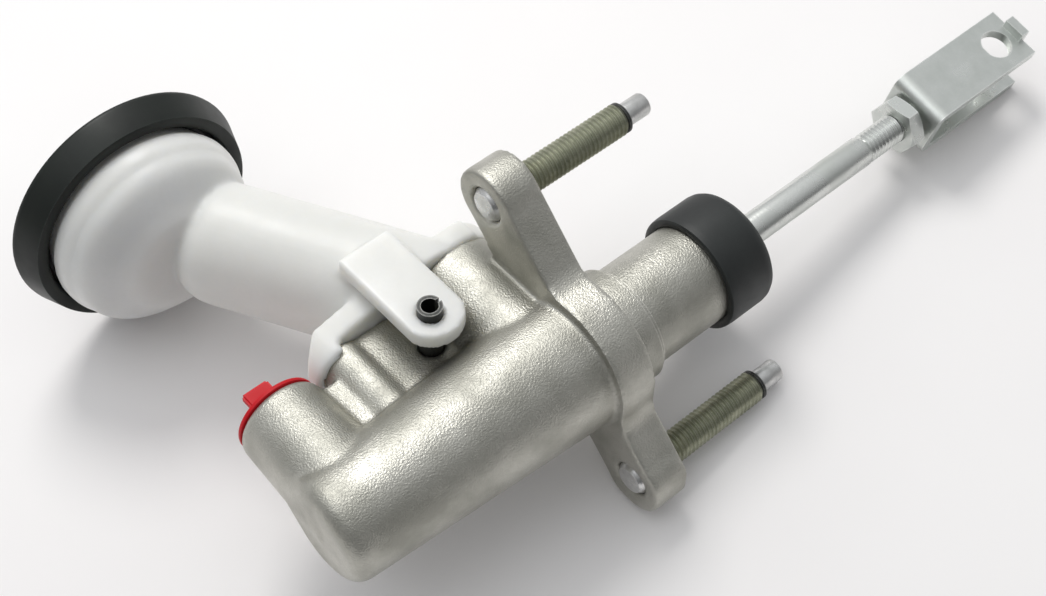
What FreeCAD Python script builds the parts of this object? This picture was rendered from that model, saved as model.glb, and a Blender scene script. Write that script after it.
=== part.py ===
import FreeCAD, Part
import math
import os
import Sketcher
from FreeCAD import Placement, Rotation, Vector

# Clutch master cylinder, lying on its side.
# X runs along the bore towards the clevis, Y along the reservoir inlet, Z up.
# The origin is on the bore axis, in the face that bolts to the bulkhead.

os.makedirs("parts", exist_ok=True)
doc = FreeCAD.newDocument("clutch_master")
sheet = doc.addObject("Spreadsheet::Sheet", "sizes")

# Driving sizes in millimetres (degrees where the name says so)
SIZES = [
    # bore and barrel
    ("bore_rad", 7.94), ("bore_end_x", -72.0), ("bore_tip_depth", 3.0),
    ("barrel_end_x", -80.5), ("barrel_end_rad", 13.1), ("barrel_root_rad", 16.6), ("barrel_root_x", -14.0),
    ("end_round", 4.0),
    # mounting flange
    ("flange_thick", 10.0), ("hub_rad", 19.0), ("lobe_rad", 9.2), ("waist_half", 8.8), ("waist_round", 8.0),
    ("stud_up_dist", 40.9), ("stud_low_dist", 32.6), ("flange_turn_deg", 45.0),
    ("flange_round", 2.6), ("flange_face_round", 0.8),
    # pilot and snout
    ("pilot_rad", 14.75), ("pilot_len", 6.5), ("step_rad", 13.9), ("step_len", 1.2),
    ("snout_rad", 13.0), ("snout_end_x", 34.0), ("seat_groove_x", 29.4), ("seat_groove_len", 2.4), ("seat_groove_rad", 12.0),
    ("mouth_rad", 9.3), ("mouth_depth", 6.5), ("ring_groove_rad", 10.2), ("ring_groove_x", 29.7), ("ring_groove_len", 1.5),
    # turret under the reservoir
    ("turret_top_y", 33.8), ("turret_rad", 14.0), ("turret_x", -15.3),
    ("block_x0", -45.5), ("block_x1", -24.0), ("block_half", 5.0),
    ("rib_x", -49.0), ("rib_rad", 6.4), ("web_x0", -66.0), ("web_x1", -49.0), ("web_half", 4.0), ("web_top_y", 28.0),
    ("well_x", -20.0), ("well_rad", 8.0), ("well_floor_y", 13.0),
    ("comp_port_x", -24.4), ("comp_port_rad", 0.6), ("feed_port_x", -14.2), ("feed_port_rad", 1.4), ("port_low_y", 5.0),
    # outlet boss
    ("boss_x", -68.8), ("boss_root_rad", 12.2), ("boss_tip_rad", 10.8), ("boss_top_y", 31.0), ("boss_round", 2.0),
    ("outlet_rad", 5.4), ("outlet_floor_y", 12.5), ("outlet_hole_rad", 1.5),
    # studs
    ("stud_rad", 4.0), ("stud_knurl_rad", 4.35), ("stud_head_rad", 3.7), ("stud_head_proud", 1.3),
    ("stud_thread_end_x", 31.6), ("dog_rad", 2.9), ("dog_len", 7.4), ("dog_round", 0.8), ("stud_spot_rad", 4.9), ("stud_spot_depth", 1.0),
    # reservoir
    ("foot_top_y", 40.0), ("foot_left_rad", 9.2), ("foot_gap", 0.1), ("skirt_low_y", 30.5), ("skirt_gap", 0.15),
    ("spigot_rad", 6.4), ("spigot_low_y", 19.0), ("spigot_hole_rad", 4.2), ("spigot_hole_top_y", 46.0),
    ("tube_rad", 15.0), ("tube_low_x", -21.2), ("tube_low_y", 29.8), ("tube_lean_deg", 29.4), ("tube_len", 59.0),
    ("tube_wall", 2.4), ("tube_floor", 15.2), ("tube_round", 2.0),
    ("bowl_x", -59.1), ("bowl_low_y", 73.5), ("bowl_side_y", 84.0), ("bowl_rad", 24.3), ("bowl_floor_rad", 14.0),
    ("bowl_round", 7.0), ("bowl_floor_round", 4.0),
    ("bead_y", 92.9), ("bead_rad", 25.1), ("neck_low_rad", 25.6), ("neck_rad", 24.0), ("neck_top_y", 102.6), ("bowl_wall", 2.2),
    ("neck_thread_rad", 24.9), ("neck_thread_y", 99.8), ("neck_thread_len", 1.8),
    # ears and roll pin
    ("ear_top_z", 17.5), ("ear_thick", 4.5), ("ear_half", 6.8), ("ear_x", -32.7), ("pin_y", 21.0), ("ear_root_y", 46.0),
    ("pin_rad", 3.0), ("pin_wall", 1.0), ("pin_slot", 0.9), ("pin_proud", 2.2),
    # cap, seal and float
    ("cap_low_y", 98.4), ("cap_low_rad", 29.05), ("cap_top_y", 106.4), ("cap_top_rad", 31.9),
    ("cap_under_rad", 26.0), ("cap_edge_round", 1.2),
    ("seal_thick", 1.4), ("seal_rad", 24.6), ("seal_cup_rad", 17.0), ("seal_cup_depth", 3.9),
    ("grommet_low_y", 17.0), ("grommet_top_y", 33.3), ("grommet_lip_rad", 4.6), ("grommet_floor", 1.9),
    # push rod side of the bore
    ("piston_gap", 0.03), ("piston_x0", -18.2), ("piston_nose_x", -20.9), ("piston_nose_rad", 2.2), ("piston_waist_rad", 5.4), ("piston_x1", 27.4),
    ("piston_waist_x0", -15.7), ("piston_waist_x1", 6.0),
    ("ball_rad", 5.0), ("ball_gap", 0.05), ("ball_x", 22.2), ("socket_mouth_rad", 3.5), ("socket_mouth_bevel", 0.8),
    ("sec_groove_x", 10.0), ("sec_groove_len", 3.6), ("sec_groove_rad", 5.6),
    ("cup_len", 3.8), ("cup_lip", 1.1), ("cup_base", 1.2), ("cup_gap", 0.04), ("nose_gap", 0.1), ("washer_thick", 0.6), ("washer_rad", 7.4),
    ("spring_rad", 4.7), ("spring_wire_rad", 0.65), ("spring_turns", 7.0), ("spring_seat_rad", 5.9), ("spring_seat_thick", 0.9),
    ("bore_tip_rad", 3.0),
    ("plate_gap", 0.1), ("plate_thick", 2.0), ("plate_hole_rad", 6.2),
    ("ring_gap", 0.1), ("ring_inner_rad", 7.8), ("ring_thick", 1.2), ("ring_gap_deg", 50.0),
    # boot
    ("boot_x0", 28.7), ("boot_x1", 43.4), ("boot_rad", 14.95), ("boot_inner_gap", 0.05), ("boot_face", 2.2), ("boot_round", 2.6), ("boot_hole_rad", 5.5),
    ("boot_bead_gap", 0.1), ("boot_bead_len", 2.0),
    # push rod, nut and clevis
    ("rod_rad", 4.0), ("rod_neck_rad", 3.0), ("rod_neck_end_x", 31.5), ("rod_shank_end_x", 90.0), ("rod_thread_rad", 3.9), ("rod_end_x", 116.5),
    ("nut_x0", 101.5), ("nut_thick", 4.2), ("nut_across", 13.0), ("thread_gap", 0.02), ("nut_bevel", 0.8), ("nut_turn_deg", 0.0),
    ("clevis_turn_deg", 12.0), ("clevis_x0", 107.4), ("clevis_x1", 145.0), ("clevis_half_w", 7.7), ("clevis_half_h", 8.0), ("clevis_thick", 2.6),
    ("clevis_bend", 3.6), ("clevis_pin_rad", 4.15), ("clevis_pin_x", 137.9), ("clevis_flat", 3.95), ("clevis_corner", 1.5),
    ("tab_half", 3.0), ("tab_rise", 5.2), ("tab_shift", 1.2),
    # outlet seat and plug
    ("seat_len", 5.0), ("seat_hole_rad", 1.2), ("plug_rim_rad", 8.9), ("plug_rim_thick", 1.0), ("plug_gap", 0.05), ("plug_shank_len", 9.0),
    ("plug_wall", 1.2), ("plug_tab_w", 6.4), ("plug_tab_h", 7.0), ("plug_tab_t", 2.2),
]
for row, (name, number) in enumerate(SIZES, start=1):
    sheet.set(f"A{row}", name)
    sheet.set(f"B{row}", str(number))
    sheet.setAlias(f"B{row}", name)
doc.recompute()


def size(name):
    """The present value of a named size, as a plain number."""
    return float(sheet.get(name))


def value(expression):
    """Work out a size expression such as 'bore_rad - piston_gap' from the sheet."""
    total = 0.0
    sign = 1.0
    for word in expression.replace("-", " - ").replace("+", " + ").split():
        if word == "-":
            sign = -sign
        elif word == "+":
            continue
        else:
            total += sign * product(word)
            sign = 1.0
    return total


def product(word):
    """A name, a number, or names and numbers joined by * and /."""
    parts = word.replace("/", " / ").replace("*", " * ").split()
    result = amount(parts[0])
    for mark, part in zip(parts[1::2], parts[2::2]):
        result = result * amount(part) if mark == "*" else result / amount(part)
    return result


def amount(word):
    return float(word) if word[0].isdigit() or word[0] == "." else size(word)


def bound(expression):
    """The same expression with every name pointed at the sheet."""
    out = []
    for word in expression.replace("-", " - ").replace("+", " + ").replace("*", " * ").replace("/", " / ").split():
        plain = word in "+-*/" or word[0].isdigit() or word[0] == "."
        out.append(word if plain else "sizes." + word)
    return " ".join(out)


def new_body(label):
    body = doc.addObject("PartDesign::Body", label)
    body.Label = label
    return body


def new_sketch(body, name, plane, shift=("0", "0", "0"), turn=None):
    """A sketch on one of the body's own planes, moved and turned from it."""
    sketch = body.newObject("Sketcher::SketchObject", name)
    origin = [f for f in body.Origin.OriginFeatures if f.Role == plane][0]
    sketch.AttachmentSupport = [(origin, "")]
    sketch.MapMode = "FlatFace"
    rotation = Rotation()
    if turn:
        rotation = Rotation(turn[0], value(turn[1]))
    sketch.AttachmentOffset = Placement(Vector(*[value(s) for s in shift]), rotation)
    for axis, expression in zip("xyz", shift):
        if expression != "0":
            sketch.setExpression(f"AttachmentOffset.Base.{axis}", bound(expression))
    if turn:
        sketch.setExpression("AttachmentOffset.Rotation.Angle", bound(turn[1]))
    return sketch


def fix_point(sketch, geo, pos, across, up):
    """Tie one sketch point to the sketch origin by two sheet sizes."""
    for kind, expression in (("DistanceX", across), ("DistanceY", up)):
        index = sketch.addConstraint(Sketcher.Constraint(kind, -1, 1, geo, pos, value(expression)))
        sketch.setExpression(f"Constraints[{index}]", bound(expression))


def add_outline(sketch, points):
    """A closed outline of straight lines through points given as sheet expressions."""
    spots = [Vector(value(a), value(b), 0) for a, b in points]
    first = sketch.GeometryCount
    count = len(spots)
    for i in range(count):
        sketch.addGeometry(Part.LineSegment(spots[i], spots[(i + 1) % count]), False)
    for i in range(count):
        sketch.addConstraint(Sketcher.Constraint("Coincident", first + i, 2, first + (i + 1) % count, 1))
    for i, (a, b) in enumerate(points):
        fix_point(sketch, first + i, 1, a, b)


def add_circle(sketch, across, up, radius):
    geo = sketch.addGeometry(Part.Circle(Vector(value(across), value(up), 0), Vector(0, 0, 1), value(radius)), False)
    fix_point(sketch, geo, 3, across, up)
    index = sketch.addConstraint(Sketcher.Constraint("Radius", geo, value(radius)))
    sketch.setExpression(f"Constraints[{index}]", bound(radius))


def revolve(body, sketch, axis="H_Axis", cut=False, angle=None):
    kind = "PartDesign::Groove" if cut else "PartDesign::Revolution"
    feature = body.newObject(kind, sketch.Name + "_turn")
    feature.Profile = sketch
    feature.ReferenceAxis = (sketch, [axis])
    feature.Angle = 360.0 if angle is None else value(angle)
    if angle is not None:
        feature.setExpression("Angle", bound(angle))
    body.Tip = feature
    return feature


def extrude(body, sketch, length, cut=False, flip=False, both=False):
    kind = "PartDesign::Pocket" if cut else "PartDesign::Pad"
    feature = body.newObject(kind, sketch.Name + "_run")
    feature.Profile = sketch
    feature.Length = value(length)
    feature.setExpression("Length", bound(length))
    feature.Reversed = flip
    feature.Midplane = both
    body.Tip = feature
    return feature


def turned(label, points, axis="H_Axis"):
    """A body turned in one go from its half section, x along the bore."""
    body = new_body(label)
    sketch = new_sketch(body, label + "_section", "XY_Plane")
    add_outline(sketch, points)
    revolve(body, sketch, axis)
    return body


def edges_where(feature, test):
    """Names of the edges that pass a test."""
    return [f"Edge{i}" for i, edge in enumerate(feature.Shape.Edges, start=1) if test(edge)]


def round_edges(body, test, radius, chamfer=False):
    """Round or chamfer the edges of the body's last feature that pass a test."""
    doc.recompute()
    last = body.Tip
    names = edges_where(last, test)
    if not names:
        raise RuntimeError(f"{body.Label}: no edge found to round")
    kind = "PartDesign::Chamfer" if chamfer else "PartDesign::Fillet"
    feature = body.newObject(kind, f"{body.Label}_{'bevel' if chamfer else 'round'}{len(body.Group)}")
    feature.Base = (last, names)
    field = "Size" if chamfer else "Radius"
    setattr(feature, field, value(radius))
    feature.setExpression(field, bound(radius))
    body.Tip = feature
    doc.recompute()
    return feature


def is_circle(edge, axis, radius, along=None, spot=None, slack=0.02):
    """Whether an edge is a circle (or part of one) about an axis, of a given radius."""
    curve = edge.Curve
    if not hasattr(curve, "Radius") or not hasattr(curve, "Axis"):
        return False
    if abs(abs(curve.Axis.dot(axis)) - 1) > 1e-6 or abs(curve.Radius - radius) > slack:
        return False
    if along is not None and abs(curve.Center.dot(axis) - along) > slack:
        return False
    if spot is not None and (curve.Center - spot).cross(axis).Length > slack:
        return False
    return True


AXIS_X = Vector(1, 0, 0)
AXIS_Y = Vector(0, 1, 0)
AXIS_Z = Vector(0, 0, 1)


def box_outline(x0, x1, y0, y1):
    return [(x0, y0), (x1, y0), (x1, y1), (x0, y1)]


def add_half_disc(sketch, across, radius):
    """A half disc standing on the sketch's horizontal axis, for turning into a ball."""
    x = value(across)
    r = value(radius)
    arc = sketch.addGeometry(Part.ArcOfCircle(Part.Circle(Vector(x, 0, 0), AXIS_Z, r), 0, math.pi), False)
    base = sketch.addGeometry(Part.LineSegment(Vector(x - r, 0, 0), Vector(x + r, 0, 0)), False)
    sketch.addConstraint(Sketcher.Constraint("Coincident", arc, 2, base, 1))
    sketch.addConstraint(Sketcher.Constraint("Coincident", arc, 1, base, 2))
    sketch.addConstraint(Sketcher.Constraint("PointOnObject", arc, 1, -1))
    sketch.addConstraint(Sketcher.Constraint("PointOnObject", arc, 2, -1))
    index = sketch.addConstraint(Sketcher.Constraint("DistanceX", -1, 1, arc, 3, x))
    sketch.setExpression(f"Constraints[{index}]", bound(across))
    index = sketch.addConstraint(Sketcher.Constraint("Radius", arc, r))
    sketch.setExpression(f"Constraints[{index}]", bound(radius))


def add_flatted_circle(sketch, across, up, radius, flat):
    """A circle with a straight side facing the sketch's left."""
    x = value(across)
    y = value(up)
    r = value(radius)
    half = math.acos(-value(flat) / r)
    arc = sketch.addGeometry(Part.ArcOfCircle(Part.Circle(Vector(x, y, 0), AXIS_Z, r), -half, half), False)
    top = Vector(x + r * math.cos(half), y + r * math.sin(half), 0)
    low = Vector(top.x, y - r * math.sin(half), 0)
    side = sketch.addGeometry(Part.LineSegment(top, low), False)
    sketch.addConstraint(Sketcher.Constraint("Coincident", arc, 2, side, 1))
    sketch.addConstraint(Sketcher.Constraint("Coincident", arc, 1, side, 2))
    sketch.addConstraint(Sketcher.Constraint("Vertical", side))
    fix_point(sketch, arc, 3, across, up)
    index = sketch.addConstraint(Sketcher.Constraint("Radius", arc, r))
    sketch.setExpression(f"Constraints[{index}]", bound(radius))
    index = sketch.addConstraint(Sketcher.Constraint("DistanceX", -1, 1, side, 1, top.x))
    sketch.setExpression(f"Constraints[{index}]", bound(across + " - " + flat))


def make_cylinder_body():
    body = new_body("cylinder_body")
    section = new_sketch(body, "barrel_section", "XY_Plane")
    add_outline(section, [
        ("barrel_end_x", "0"), ("barrel_end_x", "barrel_end_rad"), ("barrel_root_x", "barrel_root_rad"),
        ("0 - flange_thick/2", "barrel_root_rad"), ("0 - flange_thick/2", "pilot_rad"), ("pilot_len", "pilot_rad"),
        ("pilot_len", "step_rad"), ("pilot_len + step_len", "step_rad"), ("pilot_len + step_len", "snout_rad"),
        ("snout_end_x", "snout_rad"), ("snout_end_x", "0")])
    revolve(body, section)
    add_flange(body)
    add_turret(body)
    add_boss(body)
    round_casting(body)
    cut_bore(body)
    cut_ports(body)
    return body


def flange_sketch(body, name, forward="0"):
    return new_sketch(body, name, "YZ_Plane", ("0", "0", forward), (AXIS_Z, "flange_turn_deg"))


def add_flange(body):
    """Hub, waist and two stud lobes of the mounting flange."""
    hub = flange_sketch(body, "flange_hub")
    add_circle(hub, "0", "0", "hub_rad")
    extrude(body, hub, "flange_thick", flip=True)
    waist = flange_sketch(body, "flange_waist")
    add_outline(waist, box_outline("0 - stud_low_dist", "stud_up_dist", "0 - waist_half", "waist_half"))
    extrude(body, waist, "flange_thick", flip=True)
    lobes = flange_sketch(body, "flange_lobes")
    add_circle(lobes, "stud_up_dist", "0", "lobe_rad")
    add_circle(lobes, "0 - stud_low_dist", "0", "lobe_rad")
    extrude(body, lobes, "flange_thick", flip=True)

    def is_waist_corner(edge):
        if len(edge.Vertexes) != 2 or abs(edge.Length - size("flange_thick")) > 0.01:
            return False
        a, b = (v.Point for v in edge.Vertexes)
        if abs(a.y - b.y) + abs(a.z - b.z) > 0.01:
            return False
        return abs(math.hypot(a.y, a.z) - size("hub_rad")) < 0.05

    round_edges(body, is_waist_corner, "waist_round")


def add_turret(body):
    """The upright that carries the reservoir: round end, pin block, rib and web."""
    for name, outline in (
        ("turret_block", box_outline("block_x0", "block_x1", "0 - block_half", "block_half")),
        ("turret_web", box_outline("web_x0", "web_x1", "0 - web_half", "web_half")),
    ):
        sketch = new_sketch(body, name, "XZ_Plane")
        add_outline(sketch, outline)
        extrude(body, sketch, "turret_top_y" if name == "turret_block" else "web_top_y", flip=True)
    for name, across, radius in (("turret_round", "turret_x", "turret_rad"), ("turret_rib", "rib_x", "rib_rad")):
        sketch = new_sketch(body, name, "XZ_Plane")
        add_circle(sketch, across, "0", radius)
        extrude(body, sketch, "turret_top_y", flip=True)


def add_boss(body):
    sketch = new_sketch(body, "boss_section", "XY_Plane", ("boss_x", "0", "0"))
    add_outline(sketch, [("0", "0"), ("boss_root_rad", "0"), ("boss_tip_rad", "boss_top_y"), ("0", "boss_top_y")])
    revolve(body, sketch, "V_Axis")


def round_casting(body):
    """Cast corners: closed end of the barrel, boss tip and flange rim."""
    end = size("barrel_end_x")
    round_edges(body, lambda e: is_circle(e, AXIS_X, size("barrel_end_rad"), end), "end_round")
    top = size("boss_top_y")
    round_edges(body, lambda e: is_circle(e, AXIS_Y, size("boss_tip_rad"), top), "boss_round")


def cut_bore(body):
    bore = new_sketch(body, "bore_section", "XY_Plane")
    add_outline(bore, [
        ("bore_end_x - bore_tip_depth", "0"), ("bore_end_x", "bore_tip_rad"), ("bore_end_x", "bore_rad"),
        ("snout_end_x - mouth_depth", "bore_rad"), ("snout_end_x - mouth_depth", "mouth_rad"),
        ("ring_groove_x", "mouth_rad"), ("ring_groove_x", "ring_groove_rad"),
        ("ring_groove_x + ring_groove_len", "ring_groove_rad"), ("ring_groove_x + ring_groove_len", "mouth_rad"),
        ("snout_end_x", "mouth_rad"), ("snout_end_x", "0")])
    revolve(body, bore, cut=True)
    seat = new_sketch(body, "boot_groove_section", "XY_Plane")
    add_outline(seat, box_outline("seat_groove_x", "seat_groove_x + seat_groove_len", "seat_groove_rad", "snout_rad + 1"))
    revolve(body, seat, cut=True)


def cut_ports(body):
    """Reservoir well with its two ports, outlet port, stud holes and the pin hole."""
    well = new_sketch(body, "well", "XZ_Plane", ("0", "0", "0 - turret_top_y"))
    add_circle(well, "well_x", "0", "well_rad")
    extrude(body, well, "turret_top_y - well_floor_y", cut=True, flip=True)
    ports = new_sketch(body, "inlet_ports", "XZ_Plane", ("0", "0", "0 - well_floor_y - 1"))
    add_circle(ports, "comp_port_x", "0", "comp_port_rad")
    add_circle(ports, "feed_port_x", "0", "feed_port_rad")
    extrude(body, ports, "well_floor_y - port_low_y", cut=True, flip=True)
    outlet = new_sketch(body, "outlet_section", "XY_Plane", ("boss_x", "0", "0"))
    add_outline(outlet, [
        ("0", "port_low_y"), ("outlet_hole_rad", "port_low_y"), ("outlet_hole_rad", "outlet_floor_y"),
        ("outlet_rad", "outlet_floor_y"), ("outlet_rad", "boss_top_y"), ("0", "boss_top_y")])
    revolve(body, outlet, "V_Axis", cut=True)
    holes = flange_sketch(body, "stud_holes")
    spots = flange_sketch(body, "stud_spots", "0 - flange_thick")
    for sketch, radius in ((holes, "stud_knurl_rad"), (spots, "stud_spot_rad")):
        add_circle(sketch, "stud_up_dist", "0", radius)
        add_circle(sketch, "0 - stud_low_dist", "0", radius)
    extrude(body, holes, "flange_thick", cut=True)
    extrude(body, spots, "stud_spot_depth", cut=True, flip=True)
    cross = new_sketch(body, "pin_hole", "XY_Plane")
    add_circle(cross, "ear_x", "pin_y", "pin_rad")
    extrude(body, cross, "block_half*4", cut=True, both=True)


def make_stud(label, distance, sign):
    """One mounting stud: knurled root, thread and plain point."""
    body = new_body(label)
    sketch = new_sketch(body, label + "_section", "XY_Plane")
    add_outline(sketch, [
        ("0 - flange_thick - stud_head_proud + stud_spot_depth", "0"),
        ("0 - flange_thick - stud_head_proud + stud_spot_depth", "stud_head_rad"),
        ("0 - flange_thick + stud_spot_depth", "stud_knurl_rad"), ("0", "stud_knurl_rad"), ("0", "stud_rad"),
        ("stud_thread_end_x - dog_round", "stud_rad"), ("stud_thread_end_x", "stud_rad - dog_round"),
        ("stud_thread_end_x", "dog_rad"), ("stud_thread_end_x + dog_len - dog_round", "dog_rad"),
        ("stud_thread_end_x + dog_len", "dog_rad - dog_round"), ("stud_thread_end_x + dog_len", "0")])
    revolve(body, sketch)
    turn = math.radians(size("flange_turn_deg"))
    far = sign * size(distance)
    body.Placement = Placement(Vector(0, far * math.cos(turn), far * math.sin(turn)), Rotation())
    mark = "" if sign > 0 else "-"
    body.setExpression("Placement.Base.y", f"{mark}sizes.{distance} * cos(sizes.flange_turn_deg * 1deg)")
    body.setExpression("Placement.Base.z", f"{mark}sizes.{distance} * sin(sizes.flange_turn_deg * 1deg)")
    return body


def add_tapered_slot(sketch, left, left_rad, right, right_rad):
    """A slot on the sketch's horizontal axis with a small round left end and a large right one."""
    x0, r0, x1, r1 = (value(e) for e in (left, left_rad, right, right_rad))
    lean = math.acos((r0 - r1) / (x1 - x0))
    up = Vector(math.cos(lean), math.sin(lean), 0)
    down = Vector(up.x, -up.y, 0)
    ends = (Vector(x0, 0, 0), r0), (Vector(x1, 0, 0), r1)
    small = sketch.addGeometry(Part.ArcOfCircle(Part.Circle(ends[0][0], AXIS_Z, r0), lean, 2 * math.pi - lean), False)
    large = sketch.addGeometry(Part.ArcOfCircle(Part.Circle(ends[1][0], AXIS_Z, r1), -lean, lean), False)
    top = sketch.addGeometry(Part.LineSegment(ends[0][0] + up * r0, ends[1][0] + up * r1), False)
    low = sketch.addGeometry(Part.LineSegment(ends[1][0] + down * r1, ends[0][0] + down * r0), False)
    for pair in ((small, 1, top, 1), (top, 2, large, 2), (large, 1, low, 1), (low, 2, small, 2)):
        sketch.addConstraint(Sketcher.Constraint("Tangent", *pair))
    for arc, across, radius in ((small, left, left_rad), (large, right, right_rad)):
        fix_point(sketch, arc, 3, across, "0")
        index = sketch.addConstraint(Sketcher.Constraint("Radius", arc, value(radius)))
        sketch.setExpression(f"Constraints[{index}]", bound(radius))


def add_tip(sketch, across, up, half, root):
    """An ear: round tip about a centre, straight sides up to the root line."""
    x, y, r, y1 = (value(e) for e in (across, up, half, root))
    arc = sketch.addGeometry(Part.ArcOfCircle(Part.Circle(Vector(x, y, 0), AXIS_Z, r), math.pi, 2 * math.pi), False)
    right = sketch.addGeometry(Part.LineSegment(Vector(x + r, y, 0), Vector(x + r, y1, 0)), False)
    top = sketch.addGeometry(Part.LineSegment(Vector(x + r, y1, 0), Vector(x - r, y1, 0)), False)
    left = sketch.addGeometry(Part.LineSegment(Vector(x - r, y1, 0), Vector(x - r, y, 0)), False)
    sketch.addConstraint(Sketcher.Constraint("Tangent", arc, 2, right, 1))
    sketch.addConstraint(Sketcher.Constraint("Coincident", right, 2, top, 1))
    sketch.addConstraint(Sketcher.Constraint("Coincident", top, 2, left, 1))
    sketch.addConstraint(Sketcher.Constraint("Tangent", left, 2, arc, 1))
    sketch.addConstraint(Sketcher.Constraint("Vertical", right))
    sketch.addConstraint(Sketcher.Constraint("Vertical", left))
    fix_point(sketch, arc, 3, across, up)
    index = sketch.addConstraint(Sketcher.Constraint("Radius", arc, r))
    sketch.setExpression(f"Constraints[{index}]", bound(half))
    index = sketch.addConstraint(Sketcher.Constraint("DistanceY", -1, 1, top, 1, y1))
    sketch.setExpression(f"Constraints[{index}]", bound(root))
    sketch.addConstraint(Sketcher.Constraint("Horizontal", top))


def make_reservoir():
    """White reservoir: bowl and leaning tube, foot with two ears, spigot."""
    body = new_body("reservoir")
    bowl = new_sketch(body, "bowl_section", "XY_Plane", ("bowl_x", "0", "0"))
    add_outline(bowl, [
        ("0", "bowl_low_y"), ("bowl_floor_rad", "bowl_low_y"), ("bowl_rad", "bowl_side_y"),
        ("bead_rad", "bead_y - 0.8"), ("bead_rad", "bead_y + 0.8"), ("neck_low_rad", "bead_y + 1.6"),
        ("neck_low_rad", "cap_low_y + 0.6"), ("neck_rad", "cap_low_y + 1.2"), ("neck_rad", "neck_thread_y"),
        ("neck_thread_rad", "neck_thread_y + 0.6"), ("neck_thread_rad", "neck_thread_y + neck_thread_len - 0.6"),
        ("neck_rad", "neck_thread_y + neck_thread_len"), ("neck_rad", "neck_top_y"), ("0", "neck_top_y")])
    revolve(body, bowl, "V_Axis")
    round_edges(body, lambda e: is_circle(e, AXIS_Y, size("bowl_rad"), size("bowl_side_y")), "bowl_round")
    round_edges(body, lambda e: is_circle(e, AXIS_Y, size("bowl_floor_rad"), size("bowl_low_y")), "bowl_floor_round")
    tube_turn = (AXIS_Y, "tube_lean_deg")
    tube = new_sketch(body, "tube_section", "XZ_Plane", ("tube_low_x", "0", "0 - tube_low_y"), tube_turn)
    add_circle(tube, "0", "0", "tube_rad")
    extrude(body, tube, "tube_len", flip=True)
    trim = new_sketch(body, "foot_trim", "XZ_Plane", ("0", "0", "0 - turret_top_y - foot_gap"))
    add_outline(trim, box_outline("rib_x - 20", "turret_x + 20", "0 - tube_rad - 5", "tube_rad + 5"))
    extrude(body, trim, "turret_top_y", cut=True, flip=True)
    add_foot(body)
    hollow_reservoir(body)
    return body


def add_foot(body):
    """Foot plate on the turret, skirt round the rib, spigot and the two pin ears."""
    foot = new_sketch(body, "foot_plate", "XZ_Plane", ("0", "0", "0 - turret_top_y - foot_gap"))
    add_tapered_slot(foot, "rib_x", "foot_left_rad", "turret_x", "turret_rad")
    extrude(body, foot, "foot_top_y - turret_top_y - foot_gap", flip=True)
    skirt = new_sketch(body, "skirt_ring", "XZ_Plane", ("0", "0", "0 - skirt_low_y"))
    add_circle(skirt, "rib_x", "0", "foot_left_rad")
    extrude(body, skirt, "turret_top_y + foot_gap + 1 - skirt_low_y", flip=True)
    room = new_sketch(body, "skirt_room", "XZ_Plane", ("0", "0", "0 - turret_top_y - foot_gap"))
    add_circle(room, "rib_x", "0", "rib_rad + skirt_gap")
    extrude(body, room, "turret_top_y + foot_gap - skirt_low_y", cut=True, flip=True)
    half = new_sketch(body, "skirt_trim", "XZ_Plane", ("0", "0", "0 - turret_top_y - foot_gap"))
    add_outline(half, box_outline("rib_x", "rib_x + 15", "0 - foot_left_rad - 1", "foot_left_rad + 1"))
    extrude(body, half, "turret_top_y + foot_gap - skirt_low_y", cut=True, flip=True)
    spigot = new_sketch(body, "spigot", "XZ_Plane", ("0", "0", "0 - spigot_low_y"))
    add_circle(spigot, "well_x", "0", "spigot_rad")
    extrude(body, spigot, "turret_top_y + foot_gap + 1 - spigot_low_y", flip=True)
    for name, low in (("ear_upper", "ear_top_z - ear_thick"), ("ear_lower", "0 - ear_top_z")):
        ear = new_sketch(body, name, "XY_Plane", ("0", "0", low))
        add_tip(ear, "ear_x", "pin_y", "ear_half", "ear_root_y")
        extrude(body, ear, "ear_thick")
    cross = new_sketch(body, "ear_pin_hole", "XY_Plane")
    add_circle(cross, "ear_x", "pin_y", "pin_rad")
    extrude(body, cross, "ear_top_z*2 + 2", cut=True, both=True)


def hollow_reservoir(body):
    inside = new_sketch(body, "bowl_hollow", "XY_Plane", ("bowl_x", "0", "0"))
    add_outline(inside, [
        ("0", "bowl_low_y + bowl_wall"), ("bowl_floor_rad - 1", "bowl_low_y + bowl_wall"),
        ("neck_rad - bowl_wall", "bowl_side_y"), ("neck_rad - bowl_wall", "neck_top_y + 1"), ("0", "neck_top_y + 1")])
    revolve(body, inside, "V_Axis", cut=True)
    tube_turn = (AXIS_Y, "tube_lean_deg")
    bore = new_sketch(body, "tube_bore", "XZ_Plane", ("tube_low_x", "0", "0 - tube_low_y"), tube_turn)
    add_circle(bore, "0", "0", "tube_rad - tube_wall")
    bore.AttachmentOffset = shifted_along_tube(bore)
    extrude(body, bore, "tube_len - tube_floor - tube_wall", cut=True)
    hole = new_sketch(body, "spigot_hole", "XZ_Plane", ("0", "0", "0 - spigot_low_y"))
    add_circle(hole, "well_x", "0", "spigot_hole_rad")
    extrude(body, hole, "spigot_hole_top_y - spigot_low_y", cut=True)


def shifted_along_tube(sketch):
    """Where the tube's hollow starts: its low end moved up the tube's axis."""
    lean = "sizes.tube_lean_deg * 1deg"
    sketch.setExpression("AttachmentOffset.Base.x", f"sizes.tube_low_x - sizes.tube_floor * sin({lean})")
    sketch.setExpression("AttachmentOffset.Base.z", f"-sizes.tube_low_y - sizes.tube_floor * cos({lean})")
    turn = math.radians(size("tube_lean_deg"))
    along = size("tube_floor")
    x = size("tube_low_x") - along * math.sin(turn)
    z = -size("tube_low_y") - along * math.cos(turn)
    return Placement(Vector(x, 0, z), Rotation(AXIS_Y, size("tube_lean_deg")))


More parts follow.
